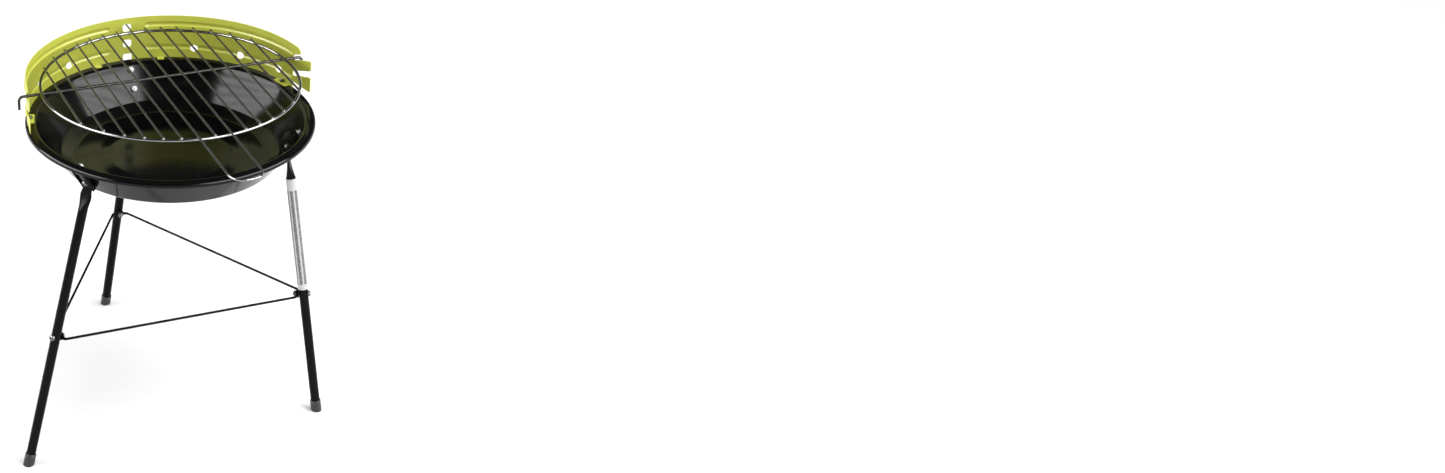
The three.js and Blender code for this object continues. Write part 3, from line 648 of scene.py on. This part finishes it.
def shield_end_outline():
    """What is cut away in front of the windshield's end edge, as (y, height) points."""
    bar_low, bar_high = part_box("crossbar")
    bar = (bar_high.y - bar_low.y) / 2
    back = box_middle("crossbar").y - RIM_CENTRE.y
    top_level = bar_high.z - bar - RIM_CENTRE.z
    rise, lean = tan(BAR_RISE), cos(BAR_RISE)
    room, head = bar + 0.4 * MM, 5 * MM / lean
    front = SHIELD_LOW.y - RIM_CENTRE.y
    top = SHIELD_HIGH.z - RIM_CENTRE.z
    beyond, corner, tab = front - 40 * MM, 12 * MM, 4 * MM
    lobe = back - 16 * MM

    def above(y, level):
        return level + (back - y) * rise + head

    def under(y, level):
        return level + (back - y) * rise - room / lean

    foot = min(above(lobe, top_level), top - corner / 3)
    points = [(beyond, top + 8 * MM), (lobe + corner, top + 8 * MM), (lobe + corner, top)]
    points += curve(points[-1], (lobe, top), (lobe, foot + tab / 4), 8)
    points.append((lobe + tab / 4, foot))
    for level in (top_level, top_level - BAR_STEP):
        if level < top_level:
            edge = above(front, level)
            points.append((front, edge + tab))
            points += curve(points[-1], (front, edge), (front + tab, above(front + tab, level)))
        points.append((back - room, above(back - room, level)))
        points += curve(points[-1], (back + room, above(back, level)), (back + room, level))
        points += curve(points[-1], (back + room, level - room), (back, level - room))
        points.append((back - room, level - room))
        points.append((back - 15 * MM, under(back - 15 * MM, level)))
        ledge = under(front + 2 * tab, level)
        points.append((front + tab, ledge))
        points += curve(points[-1], (front, ledge), (front, under(front, level) - tab))
    lowest = 10 * MM
    points.append((front, lowest + tab))
    points += curve(points[-1], (front, lowest), (front + tab, lowest))
    points.append((back, lowest))
    points += curve(points[-1], (back + room, lowest), (back + room, 0))
    points += [(back + room, -5 * MM), (beyond, -5 * MM)]
    return points


def slot_outline(low, high, foot_round, head_round):
    """A hole with rounded corners, as (x, height) points."""
    half = SLOT_HALF
    points = [(foot_round - half, low), (half - foot_round, low)]
    points += curve(points[-1], (half, low), (half, low + foot_round))
    points.append((half, high - head_round))
    points += curve(points[-1], (half, high), (half - head_round, high))
    points.append((head_round - half, high))
    points += curve(points[-1], (-half, high), (-half, high - head_round))
    points.append((-half, low + foot_round))
    points += curve(points[-1], (-half, low), (foot_round - half, low))[:-1]
    return points


def shield_cutters(sizes, radius):
    """Closed bodies that cut the windshield's ends, vents and back openings."""
    to_yz = Matrix(((0, 0, 1, 0), (1, 0, 0, 0), (0, 1, 0, 0), (0, 0, 0, 1)))
    to_xz = Matrix(((1, 0, 0, 0), (0, 0, 1, radius), (0, 1, 0, 0), (0, 0, 0, 1)))
    ends = shield_end_outline()
    wide = 1.4 * RIM_RADIUS
    cutters = [prism(ends, 0.5 * radius, wide, to_yz), prism(ends, -wide, -0.5 * radius, to_yz)]
    prong = box_middle("grid_prong_wire").z - RIM_CENTRE.z
    for level in (prong, prong - BAR_STEP):
        outline = slot_outline(level - SLOT_BELOW, level + SLOT_ABOVE, SLOT_ROUND, SLOT_ROUND)
        cutters.append(prism(outline, -VENT_REACH, VENT_REACH, to_xz))
    low_slot = slot_outline(-1.5 * MM, LOW_SLOT_TOP, 0.3 * MM, 2 * MM)
    cutters.append(prism(low_slot, -20 * MM, VENT_REACH, to_xz))
    for angle in VENT_ANGLES:
        out = Vector((cos(radians(angle)), sin(radians(angle)), 0))
        place = frame_at(out * (radius - VENT_REACH) + UP * VENT_HEIGHT, out)
        wide, deep = sizes.vent / 2, 2 * VENT_REACH
        cutters.append(lathe([(0, 0), (wide, 0), (wide, deep), (0, deep)], 40, place))
    return cutters


def flat_foot(radius, angle, arc):
    """A flat tab bent inwards from the windshield's lower edge."""
    outline = []
    for r, turns in ((radius - 0.4 * MM, (-1, -0.5, 0, 0.5, 1)), (radius - 9 * MM, (1, 0.9, 0, -0.9, -1))):
        for turn in turns:
            inset = 1.4 * MM if r < radius - 5 * MM and abs(turn) == 1 else 0.0
            a = radians(angle + turn * arc / 2)
            outline.append(((r + inset) * cos(a), (r + inset) * sin(a)))
    return prism(outline, 0.3 * MM, 1.5 * MM, Matrix.Identity(4))


class GRILL_OT_bowl(bpy.types.Operator):
    """Builds the pressed bowl with its rolled rim and floor rings"""

    bl_idname = "grill.bowl"
    bl_label = "Bowl"

    def execute(self, context):
        sizes, colours = context.scene.grill_sizes, context.scene.grill_colours
        bm = lathe(bowl_outline(sizes), sizes.lathe_steps, Matrix.Translation(RIM_CENTRE))
        piece("bowl_shell", bm, enamel_finish(colours.enamel), "frame", ["bowl"], 50)
        return {"FINISHED"}


class GRILL_OT_windshield(bpy.types.Operator):
    """Builds the half-round windshield with its ribs, vents, notched ends and feet"""

    bl_idname = "grill.windshield"
    bl_label = "Windshield"

    def execute(self, context):
        sizes, colours = context.scene.grill_sizes, context.scene.grill_colours
        radius = SHIELD_HIGH.y - RIM_CENTRE.y - RIB_RISE
        low, high = SHIELD_LOW.z - RIM_CENTRE.z, SHIELD_HIGH.z - RIM_CENTRE.z
        rows = 60
        levels = [low + (high - low) * i / rows for i in range(rows + 1)]
        rings = []
        for place, out, s in shield_path(radius, 2.4 * MM):
            outer = [place + out * rib_push(s, level, sizes, radius) + UP * level for level in levels]
            inner = [point - out * sizes.shield_sheet for point in outer]
            rings.append(outer + inner[::-1])
        bm = carved(ring_mesh(rings), *shield_cutters(sizes, radius))
        inside = radius - sizes.shield_sheet
        feet = [flat_foot(inside, angle, FOOT_ARC) for angle in FOOT_ANGLES]
        claws = [flat_foot(inside, angle, CLAW_ARC) for angle in CLAW_ANGLES]
        bm = joined(bm, *feet, *claws)
        bm.transform(Matrix.Translation(RIM_CENTRE))
        coat = shield_finish(colours.shield)
        piece("windshield_band", bm, coat, "frame", ["windshield"], 30)
        return {"FINISHED"}


# ---- crossbar and cooking grid ----
class GRILL_OT_crossbar(bpy.types.Operator):
    """Builds the crossbar with its bent ends"""

    bl_idname = "grill.crossbar"
    bl_label = "Crossbar"

    def execute(self, context):
        sizes, colours = context.scene.grill_sizes, context.scene.grill_colours
        low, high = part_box("crossbar")
        r = (high.y - low.y) / 2
        y, z = (low.y + high.y) / 2, high.z - r
        left, right = low.x + r, high.x - r
        corners = [(left, y, low.z), (left, y, z), (right, y, z), (right, y, low.z)]
        bm = sweep(rounded(corners, 6.5 * MM, 8), r, sizes.rod_sides)
        piece("crossbar_rod", bm, bar_finish(colours.bar), "crossbar", ["crossbar"])
        return {"FINISHED"}


def weld_bead(place, width, along):
    """A flattened bead of weld metal, longer along its wire."""
    half, rise = width / 2, 0.55 * width / 2
    profile = [(0, -rise)]
    for i in range(1, 8):
        turn = pi * i / 8 - pi / 2
        profile.append((half * cos(turn), rise * sin(turn)))
    profile.append((0, rise))
    stretch = Matrix.Diagonal((0.62, 1.0, 1.0, 1.0))
    return lathe(profile, 14, frame_at(place, UP, along) @ stretch)


class GRILL_OT_grid(bpy.types.Operator):
    """Builds the cooking grid: its ring, wires, prong, handle and welds"""

    bl_idname = "grill.grid"
    bl_label = "Cooking grid"

    def execute(self, context):
        sizes, colours = context.scene.grill_sizes, context.scene.grill_colours
        bright = wire_finish(colours.wire)
        low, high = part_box("grid_ring")
        ring_r = (high.z - low.z) / 2
        radius = (high.x - low.x) / 2 - ring_r
        centre = (low + high) / 2
        line = [centre + Vector((cos(a), sin(a), 0)) * radius for a in round_turns(180)]
        bm = sweep(line, ring_r, sizes.rod_sides, closed_round=True)
        piece("grid_rim_wire", bm, bright, "grid", ["grid_ring"])
        beads = []
        straight = [f"grid_wire_{side}_{k}" for side in ("left", "right") for k in range(2, 8)]
        for node in [*straight, "grid_prong_wire"]:
            low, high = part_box(node)
            r = (high.z - low.z) / 2
            x, z = (low.x + high.x) / 2, (low.z + high.z) / 2
            line = [Vector((x, y, z)) for y in (low.y, low.y + 3 * MM, high.y - 3 * MM, high.y)]
            name = node.replace("grid_", "grate_")
            piece(name, sweep(line, r, sizes.rod_sides), bright, "grid", [node])
            beads += self.beads(sizes, centre, radius, x, z - r)
        low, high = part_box("grid_handle_wire")
        r = (high.z - low.z) / 2
        half = (high.x - low.x) / 2 - r
        mid_x, z = (low.x + high.x) / 2, (low.z + high.z) / 2
        turn_y = low.y + r + half
        start_y, bow = high.y - 4 * MM, 2.5
        line = [Vector((mid_x - half, high.y, z)), Vector((mid_x - half, start_y, z))]
        for k in range(25):
            turn = pi + pi * k / 24
            across, ahead = cos(turn), sin(turn)
            square = (abs(across) ** bow + abs(ahead) ** bow) ** (-1 / bow)
            line.append(Vector((mid_x + half * across * square, turn_y + half * ahead * square, z)))
        line += [Vector((mid_x + half, start_y, z)), Vector((mid_x + half, high.y, z))]
        bm = sweep(line, r, sizes.rod_sides)
        piece("grate_handle_loop", bm, bright, "grid", ["grid_handle_wire"])
        for side in (-1, 1):
            beads += self.beads(sizes, centre, radius, mid_x + side * half, z - r)
        piece("grate_welds", joined(*beads), bright, "grid", [], 60)
        return {"FINISHED"}

    def beads(self, sizes, centre, radius, x, z):
        """The two welds of a wire on the ring."""
        reach = sqrt(radius**2 - (x - centre.x) ** 2)
        places = [Vector((x, centre.y + side * reach, z + 0.1 * MM)) for side in (-1, 1)]
        return [weld_bead(place, sizes.weld, Vector((0, 1, 0))) for place in places]


# ---- tripod ----
TIP_WIDTHS = ((0.0, 0.45), (0.5, 0.66), (1.5, 0.84), (3.2, 0.96), (5.5, 1.0))  # drop in mm, share of width
BEND_REACH, SPOON_END, SPOON_WIDTH = 4.5 * MM, 36 * MM, 20 * MM
SPOON_START, SPOON_WIDEST = 0.22, 0.4  # shares of the spoon's length


def leg_mesh(line, sizes):
    """A tube whose top is flattened into a dished spoon and a flat tongue."""
    full, thick = line.tongue_wide, line.tongue_thick
    tube = line.radius * 2
    bend, spoon = BEND_REACH, SPOON_END
    stations = []
    top = (line.tongue_top - line.knee).dot(line.wall_up)
    for drop, share in TIP_WIDTHS:
        place = line.knee + line.wall_up * (top - drop * MM)
        stations.append((place, line.wall_out, line.wall_side, full * share, thick, 0.0))
    for i in range(7):
        t = i / 6
        place = line.knee + line.wall_up * bend * (1 - t) ** 2 + line.down * bend * t * t
        out = line.wall_out.lerp(line.out, t).normalized()
        side = line.wall_side.lerp(line.side, t).normalized()
        stations.append((place, out, side, full, thick, 0.0))
    for i in range(1, 25):
        along = bend + (spoon - bend) * i / 24
        share = along / spoon
        wide = full + (SPOON_WIDTH - full) * ease((share - SPOON_START) / (SPOON_WIDEST - SPOON_START))
        if share > SPOON_WIDEST:
            wide += (tube - SPOON_WIDTH) * ease((share - SPOON_WIDEST) / (1 - SPOON_WIDEST))
        deep = thick + (tube - thick) * share**1.3
        dish = sizes.dish * max(0.0, sin(pi * share)) ** 1.5
        stations.append((line.at(along), line.out, line.side, wide, deep, dish))
    whole = (line.sole - line.knee).length
    for along in (spoon + 4 * MM, whole / 2, whole):
        stations.append((line.at(along), line.out, line.side, tube, tube, 0.0))
    rings = []
    for place, out, side, wide, deep, dish in stations:
        ring = []
        for turn in round_turns(32):
            push = deep / 2 * cos(turn) - dish * max(0.0, cos(turn)) ** 2
            ring.append(place + out * push + side * (wide / 2 * sin(turn)))
        rings.append(ring)
    return ring_mesh(rings)


def cap_mesh(line, node):
    """A moulded cap round the foot of a leg, cut flat on the ground."""
    points = node_points(node)
    away = [(p - line.sole) - line.down * (p - line.sole).dot(line.down) for p in points]
    outer = max(a.length for p, a in zip(points, away) if p.z > 12 * MM)
    top = max(-(p - line.sole).dot(line.down) for p in points)
    bore, groove = line.radius + 0.15 * MM, outer - 0.35 * MM
    below, seat = -30 * MM, 0.4 * MM
    profile = [
        (0, below), (outer, below), (outer, top - 3.4 * MM), (groove, top - 3.1 * MM),
        (groove, top - 2.6 * MM), (outer, top - 2.3 * MM), (outer, top - 0.6 * MM),
        (outer - 0.5 * MM, top), (bore, top), (bore, seat), (0, seat),
    ]
    bm = lathe(profile, 40, frame_at(line.sole, -line.down))
    parts = bm.verts[:] + bm.edges[:] + bm.faces[:]
    bmesh.ops.bisect_plane(bm, geom=parts, plane_co=(0, 0, 0), plane_no=(0, 0, 1), clear_inner=True)
    edges = [edge for edge in bm.edges if edge.is_boundary]
    bmesh.ops.holes_fill(bm, edges=edges)
    bmesh.ops.recalc_face_normals(bm, faces=bm.faces)
    return bm


def bracket_mesh(line, node):
    """A bent channel with rounded outer corners."""
    seat = line.knee
    points = [p - seat for p in node_points(node)]
    wide = max(abs(p.dot(line.wall_side)) for p in points)
    outs = [p.dot(line.wall_out) for p in points]
    ups = [p.dot(line.wall_up) for p in points]
    web, edge, sheet = min(outs), max(outs), 1.5 * MM
    inner = wide - sheet
    outline = [
        (0, web), (wide, web), (wide, edge), (inner, edge), (inner, web + sheet), (0, web + sheet),
        (-inner, web + sheet), (-inner, edge), (-wide, edge), (-wide, web), (0, web),
    ]
    smooth = rounded([Vector(point) for point in outline], 1.1 * MM, 3)[:-1]
    place = axes_at(seat, line.wall_side, line.wall_out, line.wall_up)
    return prism([tuple(point) for point in smooth], min(ups), max(ups), place)


class GRILL_OT_legs(bpy.types.Operator):
    """Builds the three legs with their spoon tops, foot caps and brackets"""

    bl_idname = "grill.legs"
    bl_label = "Legs"

    def execute(self, context):
        sizes, colours = context.scene.grill_sizes, context.scene.grill_colours
        paint, plastic = leg_finish(colours.paint), cap_finish(colours.cap)
        for side in SIDES:
            line = LegLine(side)
            bm = leg_mesh(line, sizes)
            piece(f"tube_leg_{side}", bm, paint, "frame", [f"leg_{side}"])
            node = f"foot_cap_{side}"
            piece(f"moulded_cap_{side}", cap_mesh(line, node), plastic, "frame", [node])
            node = f"bracket_{side}"
            piece(f"channel_{side}", bracket_mesh(line, node), paint, "frame", [node])
        return {"FINISHED"}


EYE_SHEET, EYE_HOLE, EYE_RADIUS, EYE_BEVEL = 1.5 * MM, 2.8 * MM, 6 * MM, 0.4 * MM
ROD_RADIUS, FLAT_HALF = 1.8 * MM, 3.1 * MM  # half widths of a brace: round in the middle, flat at the ends


def brace_mesh(first, second):
    """A rod with flattened ends and an eyelet at each end."""
    ends = []
    parts = []
    half, edge, rim = EYE_SHEET / 2, EYE_SHEET / 3, EYE_RADIUS - EYE_BEVEL
    for leg, layer, way in ((first, 0, 1), (second, 1, -1)):
        depth = leg.radius + ARM_GAP + layer * (EYE_SHEET + ARM_GAP)
        centre = leg.brace - leg.out * (depth + half)
        profile = [
            (EYE_HOLE, -half), (rim, -half), (EYE_RADIUS, -edge),
            (EYE_RADIUS, edge), (rim, half), (EYE_HOLE, half),
        ]
        parts.append(lathe(profile, 32, frame_at(centre, leg.out)))
        ends.append((centre, leg.side * way, leg.out))
    (a, a_way, a_out), (b, b_way, b_out) = ends
    corners = [a + a_way * 4.2 * MM, a + a_way * 10.8 * MM, b + b_way * 10.8 * MM, b + b_way * 4.2 * MM]
    line = rounded(corners, 5 * MM, 7)
    whole = sum((q - p).length for p, q in zip(line, line[1:]))
    gone = 0.0
    rings = []
    for i, point in enumerate(line):
        if i:
            gone += (point - line[i - 1]).length
        along = (line[min(i + 1, len(line) - 1)] - line[max(i - 1, 0)]).normalized()
        thick_way = a_out.lerp(b_out, gone / whole)
        thick_way = (thick_way - along * thick_way.dot(along)).normalized()
        wide_way = along.cross(thick_way)
        share = max(0.0, min(1.0, (min(gone, whole - gone) - 1.5 * MM) / (6 * MM)))
        wide = wide_way * (FLAT_HALF + (ROD_RADIUS - FLAT_HALF) * share)
        thick = thick_way * (half + (ROD_RADIUS - half) * share)
        rings.append([point + wide * cos(turn) + thick * sin(turn) for turn in round_turns(16)])
    return joined(ring_mesh(rings), *parts)


class GRILL_OT_braces(bpy.types.Operator):
    """Builds the three rods that brace the legs"""

    bl_idname = "grill.braces"
    bl_label = "Braces"

    def execute(self, context):
        paint = leg_finish(context.scene.grill_colours.paint)
        legs = {side: LegLine(side) for side in SIDES}
        for first, second in BRACES:
            node = f"brace_{first}_{second}"
            bm = brace_mesh(legs[first], legs[second])
            piece(f"brace_rod_{first}_{second}", bm, paint, "frame", [node])
        return {"FINISHED"}


# ---- bolts and nuts ----
def bolt_mesh(place, recess):
    """A pan-head bolt with a cross recess and a threaded end, head up, seated at the origin."""
    r, h, shank, whole = place.head_radius, place.head_height, place.shank_radius, place.length
    profile = [(0, h), (0.45 * r, 0.97 * h), (0.72 * r, 0.84 * h), (0.9 * r, 0.6 * h), (r, 0.3 * h), (r, 0.0)]
    profile.append((shank, 0.0))
    ridge = -0.45 * whole
    while ridge > -whole + 1 * MM:
        profile += [(shank, ridge), (shank - 0.32 * MM, ridge - 0.4 * MM)]
        ridge -= 0.8 * MM
    profile += [(shank - 0.1 * MM, ridge), (shank - 0.5 * MM, -whole), (0, -whole)]
    body = lathe(profile, 28)
    half, slim = recess / 2, 0.6 * MM
    cross = [
        (half, -slim), (half, slim), (slim, slim), (slim, half), (-slim, half), (-slim, slim),
        (-half, slim), (-half, -slim), (-slim, -slim), (-slim, -half), (slim, -half), (slim, -slim),
    ]
    taper = ((0.7, 0.45 * h), (1.0, 0.8 * h), (1.05, 2 * h))
    rings = [[Vector((x * scale, y * scale, z)) for x, y in cross] for scale, z in taper]
    return carved(body, ring_mesh(rings))


def nut_mesh(corner, height, hole):
    """A hexagon nut with chamfered corners, from the origin up."""
    turns = round_turns(24)
    rings = []
    for scale, z in ((0.93, 0), (1, 0.09 * height), (1, 0.91 * height), (0.93, height)):
        ring = []
        for turn in turns:
            inside = (turn % (pi / 3)) - pi / 6
            reach = corner * cos(pi / 6) / cos(inside)
            reach = min(reach, corner * 0.95) if scale < 1 else reach
            ring.append(Vector((cos(turn) * reach * scale, sin(turn) * reach * scale, z)))
        rings.append(ring)
    for z in (height, 0):
        rings.append([Vector((hole * cos(turn), hole * sin(turn), z)) for turn in turns])
    return ring_mesh(rings, closed_round=True)


class GRILL_OT_fasteners(bpy.types.Operator):
    """Builds every bolt and nut"""

    bl_idname = "grill.fasteners"
    bl_label = "Bolts and nuts"

    def execute(self, context):
        sizes, colours = context.scene.grill_sizes, context.scene.grill_colours
        zinc = zinc_finish(colours.zinc)
        stems = [f"windshield_{side}" for side in ("right", "left")]
        stems += [f"bracket_{side}_{height}" for side in SIDES for height in HEIGHTS]
        stems += [f"brace_{side}" for side in SIDES]
        for turn, stem in enumerate(stems):
            place = BoltPlace(f"{stem}_bolt")
            recess = min(sizes.recess, place.head_radius * 1.1)
            bm = bolt_mesh(place, recess)
            bm.transform(frame_at(place.seat, place.axis) @ Matrix.Rotation(0.37 * turn, 4, "Z"))
            piece(f"pan_bolt_{stem}", bm, zinc, "frame", [f"{stem}_bolt"], 32)
            centre = box_middle(f"{stem}_nut")
            rays = [p - centre for p in node_points(f"{stem}_nut")]
            height = 2 * max(ray.dot(place.axis) for ray in rays)
            flat = [ray - place.axis * ray.dot(place.axis) for ray in rays]
            corner = max(flat, key=lambda ray: ray.length)
            bm = nut_mesh(corner.length, height, place.shank_radius * 0.98)
            across = corner.normalized()
            seat = centre - place.axis * (height / 2)
            bm.transform(axes_at(seat, across, place.axis.cross(across), place.axis))
            piece(f"hex_nut_{stem}", bm, zinc, "frame", [f"{stem}_nut"], 32)
        return {"FINISHED"}


class GRILL_OT_label(bpy.types.Operator):
    """Builds the printed sleeve on the right leg"""

    bl_idname = "grill.label"
    bl_label = "Label sleeve"

    def execute(self, context):
        colours = context.scene.grill_colours
        line = LegLine("right")
        alongs = [(p - line.knee).dot(line.down) for p in node_points("leg_label")]
        start, end = min(alongs), max(alongs)
        inner, outer = line.radius + 0.2 * MM, line.radius + 0.75 * MM
        way = aim(*VIEW)
        seam = atan2(way.dot(line.side), way.dot(line.out)) + pi
        bm = bmesh.new()
        layer = bm.loops.layers.uv.new("UVMap")
        steps, count = 12, 48

        def ring(radius, along):
            turns = round_turns(count, seam)
            return [bm.verts.new(line.at(along, cos(t) * radius, sin(t) * radius)) for t in turns]

        outside = [ring(outer, start + (end - start) * i / steps) for i in range(steps + 1)]
        inside = [ring(inner, along) for along in (start, end)]
        belts = [(outside[i], outside[i + 1], i / steps, (i + 1) / steps) for i in range(steps)]
        belts += [(outside[-1], inside[1], 1, 1), (inside[1], inside[0], 1, 0), (inside[0], outside[0], 0, 0)]
        for low, high, v_low, v_high in belts:
            for k in range(count):
                j = (k + 1) % count
                face = bm.faces.new((low[k], low[j], high[j], high[k]))
                spots = ((k, v_low), (k + 1, v_low), (k + 1, v_high), (k, v_high))
                for loop, (u, v) in zip(face.loops, spots):
                    loop[layer].uv = (u / count, v)
        bmesh.ops.recalc_face_normals(bm, faces=bm.faces)
        film = label_finish(colours.film, colours.print)
        piece("label_sleeve", bm, film, "frame", ["leg_label"])
        return {"FINISHED"}


# ---- stage ----
FILL_DISTANCE, SHINE_DISTANCE = 2.4, 2.2
SHINE = 13.0  # brightness of the lamps that only glossy surfaces show
LAMPS = (("right", 43, 29, (2.9, 1.4), 4.6), ("left", -101, 26, (2.5, 1.4), 4.2))
CEILING_STRENGTH, CEILING_SPREAD, CEILING_WAY = 2.9, radians(60), (60, 72)
HORIZON, OVERHEAD = (0.1, 0.95), (0.3, 0.05)  # height on the surround and how pale it is there
SENSOR, LENS, SHIFT = 36.0, 42.80, (0.3822, -0.0053)
CAMERA_DISTANCE, TARGET_DROP = 12.2801 * RIM_RADIUS, 0.9 * RIM_RADIUS


def aim(azimuth, elevation):
    """The way from the grill towards a light or camera. Azimuth 0 is in front, 90 to the right."""
    a, e = radians(azimuth), radians(elevation)
    return Vector((sin(a) * cos(e), -cos(a) * cos(e), sin(e)))


def softbox(name, direction, distance, size, brightness):
    """A rectangular lamp that faces the bowl."""
    lamp = bpy.data.lights.new(name, "AREA")
    lamp.shape = "RECTANGLE"
    lamp.size, lamp.size_y = size
    lamp.energy = brightness * size[0] * size[1] * pi
    obj = bpy.data.objects.new(name, lamp)
    way = aim(*direction)
    obj.location = RIM_CENTRE + way * distance
    obj.rotation_euler = way.to_track_quat("Z", "Y").to_euler()
    bpy.context.scene.collection.objects.link(obj)
    return obj


def studio_world():
    """A pale surround that darkens upwards."""
    world = bpy.data.worlds.new("studio")
    nodes = Nodes(world)
    where = nodes.add("ShaderNodeTexCoord").outputs["Generated"]
    height = nodes.add("ShaderNodeSeparateXYZ", None, {0: where}).outputs["Z"]
    ramp = nodes.add("ShaderNodeValToRGB", {"stops": (HORIZON, OVERHEAD)}, {"Fac": height})
    nodes.feed(nodes.own("BACKGROUND").inputs["Color"], ramp.outputs["Color"])
    bpy.context.scene.world = world


def ceiling_light():
    """A wide soft light from above that glossy surfaces don't show."""
    sun = bpy.data.lights.new("ceiling", "SUN")
    sun.energy, sun.angle = CEILING_STRENGTH, CEILING_SPREAD
    obj = bpy.data.objects.new("ceiling", sun)
    obj.rotation_euler = aim(*CEILING_WAY).to_track_quat("Z", "Y").to_euler()
    obj.visible_glossy = False
    bpy.context.scene.collection.objects.link(obj)


def camera_view():
    """The scene's camera."""
    camera = bpy.data.cameras.new("camera")
    camera.sensor_width, camera.lens = SENSOR, LENS
    camera.shift_x, camera.shift_y = SHIFT
    camera.clip_end = 200
    view = bpy.data.objects.new("camera", camera)
    way = aim(*VIEW)
    view.location = RIM_CENTRE - UP * TARGET_DROP + way * CAMERA_DISTANCE
    view.rotation_euler = way.to_track_quat("Z", "Y").to_euler()
    bpy.context.scene.collection.objects.link(view)
    bpy.context.scene.camera = view


class GRILL_OT_stage(bpy.types.Operator):
    """Sets up the floor, the soft lights and the camera"""

    bl_idname = "grill.stage"
    bl_label = "Stage"

    def execute(self, context):
        scene = context.scene
        bm = bmesh.new()
        bmesh.ops.create_grid(bm, x_segments=8, y_segments=8, size=40.0)
        mesh = bpy.data.meshes.new("floor")
        bm.to_mesh(mesh)
        bm.free()
        mesh.materials.append(floor_finish(scene.grill_colours.floor))
        floor = bpy.data.objects.new("floor", mesh)
        floor.location.z = -0.5 * MM
        scene.collection.objects.link(floor)
        for name, azimuth, elevation, size, fill in LAMPS:
            way = azimuth, elevation
            softbox(f"fill_{name}", way, FILL_DISTANCE, size, fill).visible_glossy = False
            softbox(f"shine_{name}", way, SHINE_DISTANCE, size, SHINE).visible_diffuse = False
        ceiling_light()
        studio_world()
        camera_view()
        scene.view_settings.view_transform = "Standard"
        return {"FINISHED"}


class GRILL_PT_build(bpy.types.Panel):
    """Lists the grill's build steps"""

    bl_idname = "GRILL_PT_build"
    bl_label = "Tripod grill"
    bl_space_type = "VIEW_3D"
    bl_region_type = "UI"
    bl_category = "Grill"

    def draw(self, context):
        for group in (context.scene.grill_sizes, context.scene.grill_colours):
            column = self.layout.column()
            for key in group.__annotations__:
                column.prop(group, key)
        for step in STEPS:
            self.layout.operator(step.bl_idname)


STEPS = (
    GRILL_OT_bowl, GRILL_OT_windshield, GRILL_OT_crossbar, GRILL_OT_grid, GRILL_OT_legs, GRILL_OT_braces,
    GRILL_OT_fasteners, GRILL_OT_label, GRILL_OT_stage,
)
CLASSES = (GrillSizes, GrillColours, *STEPS, GRILL_PT_build)


def register():
    """Registers the classes and the scene's settings."""
    for item in CLASSES:
        bpy.utils.register_class(item)
    bpy.types.Scene.grill_sizes = PointerProperty(type=GrillSizes)
    bpy.types.Scene.grill_colours = PointerProperty(type=GrillColours)


def unregister():
    """Undoes register."""
    del bpy.types.Scene.grill_colours
    del bpy.types.Scene.grill_sizes
    for item in reversed(CLASSES):
        bpy.utils.unregister_class(item)


def main():
    """Builds the grill."""
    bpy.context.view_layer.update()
    register()
    for step in STEPS:
        group, name = step.bl_idname.split(".")
        getattr(getattr(bpy.ops, group), name)()


if __name__ == "__main__":
    main()
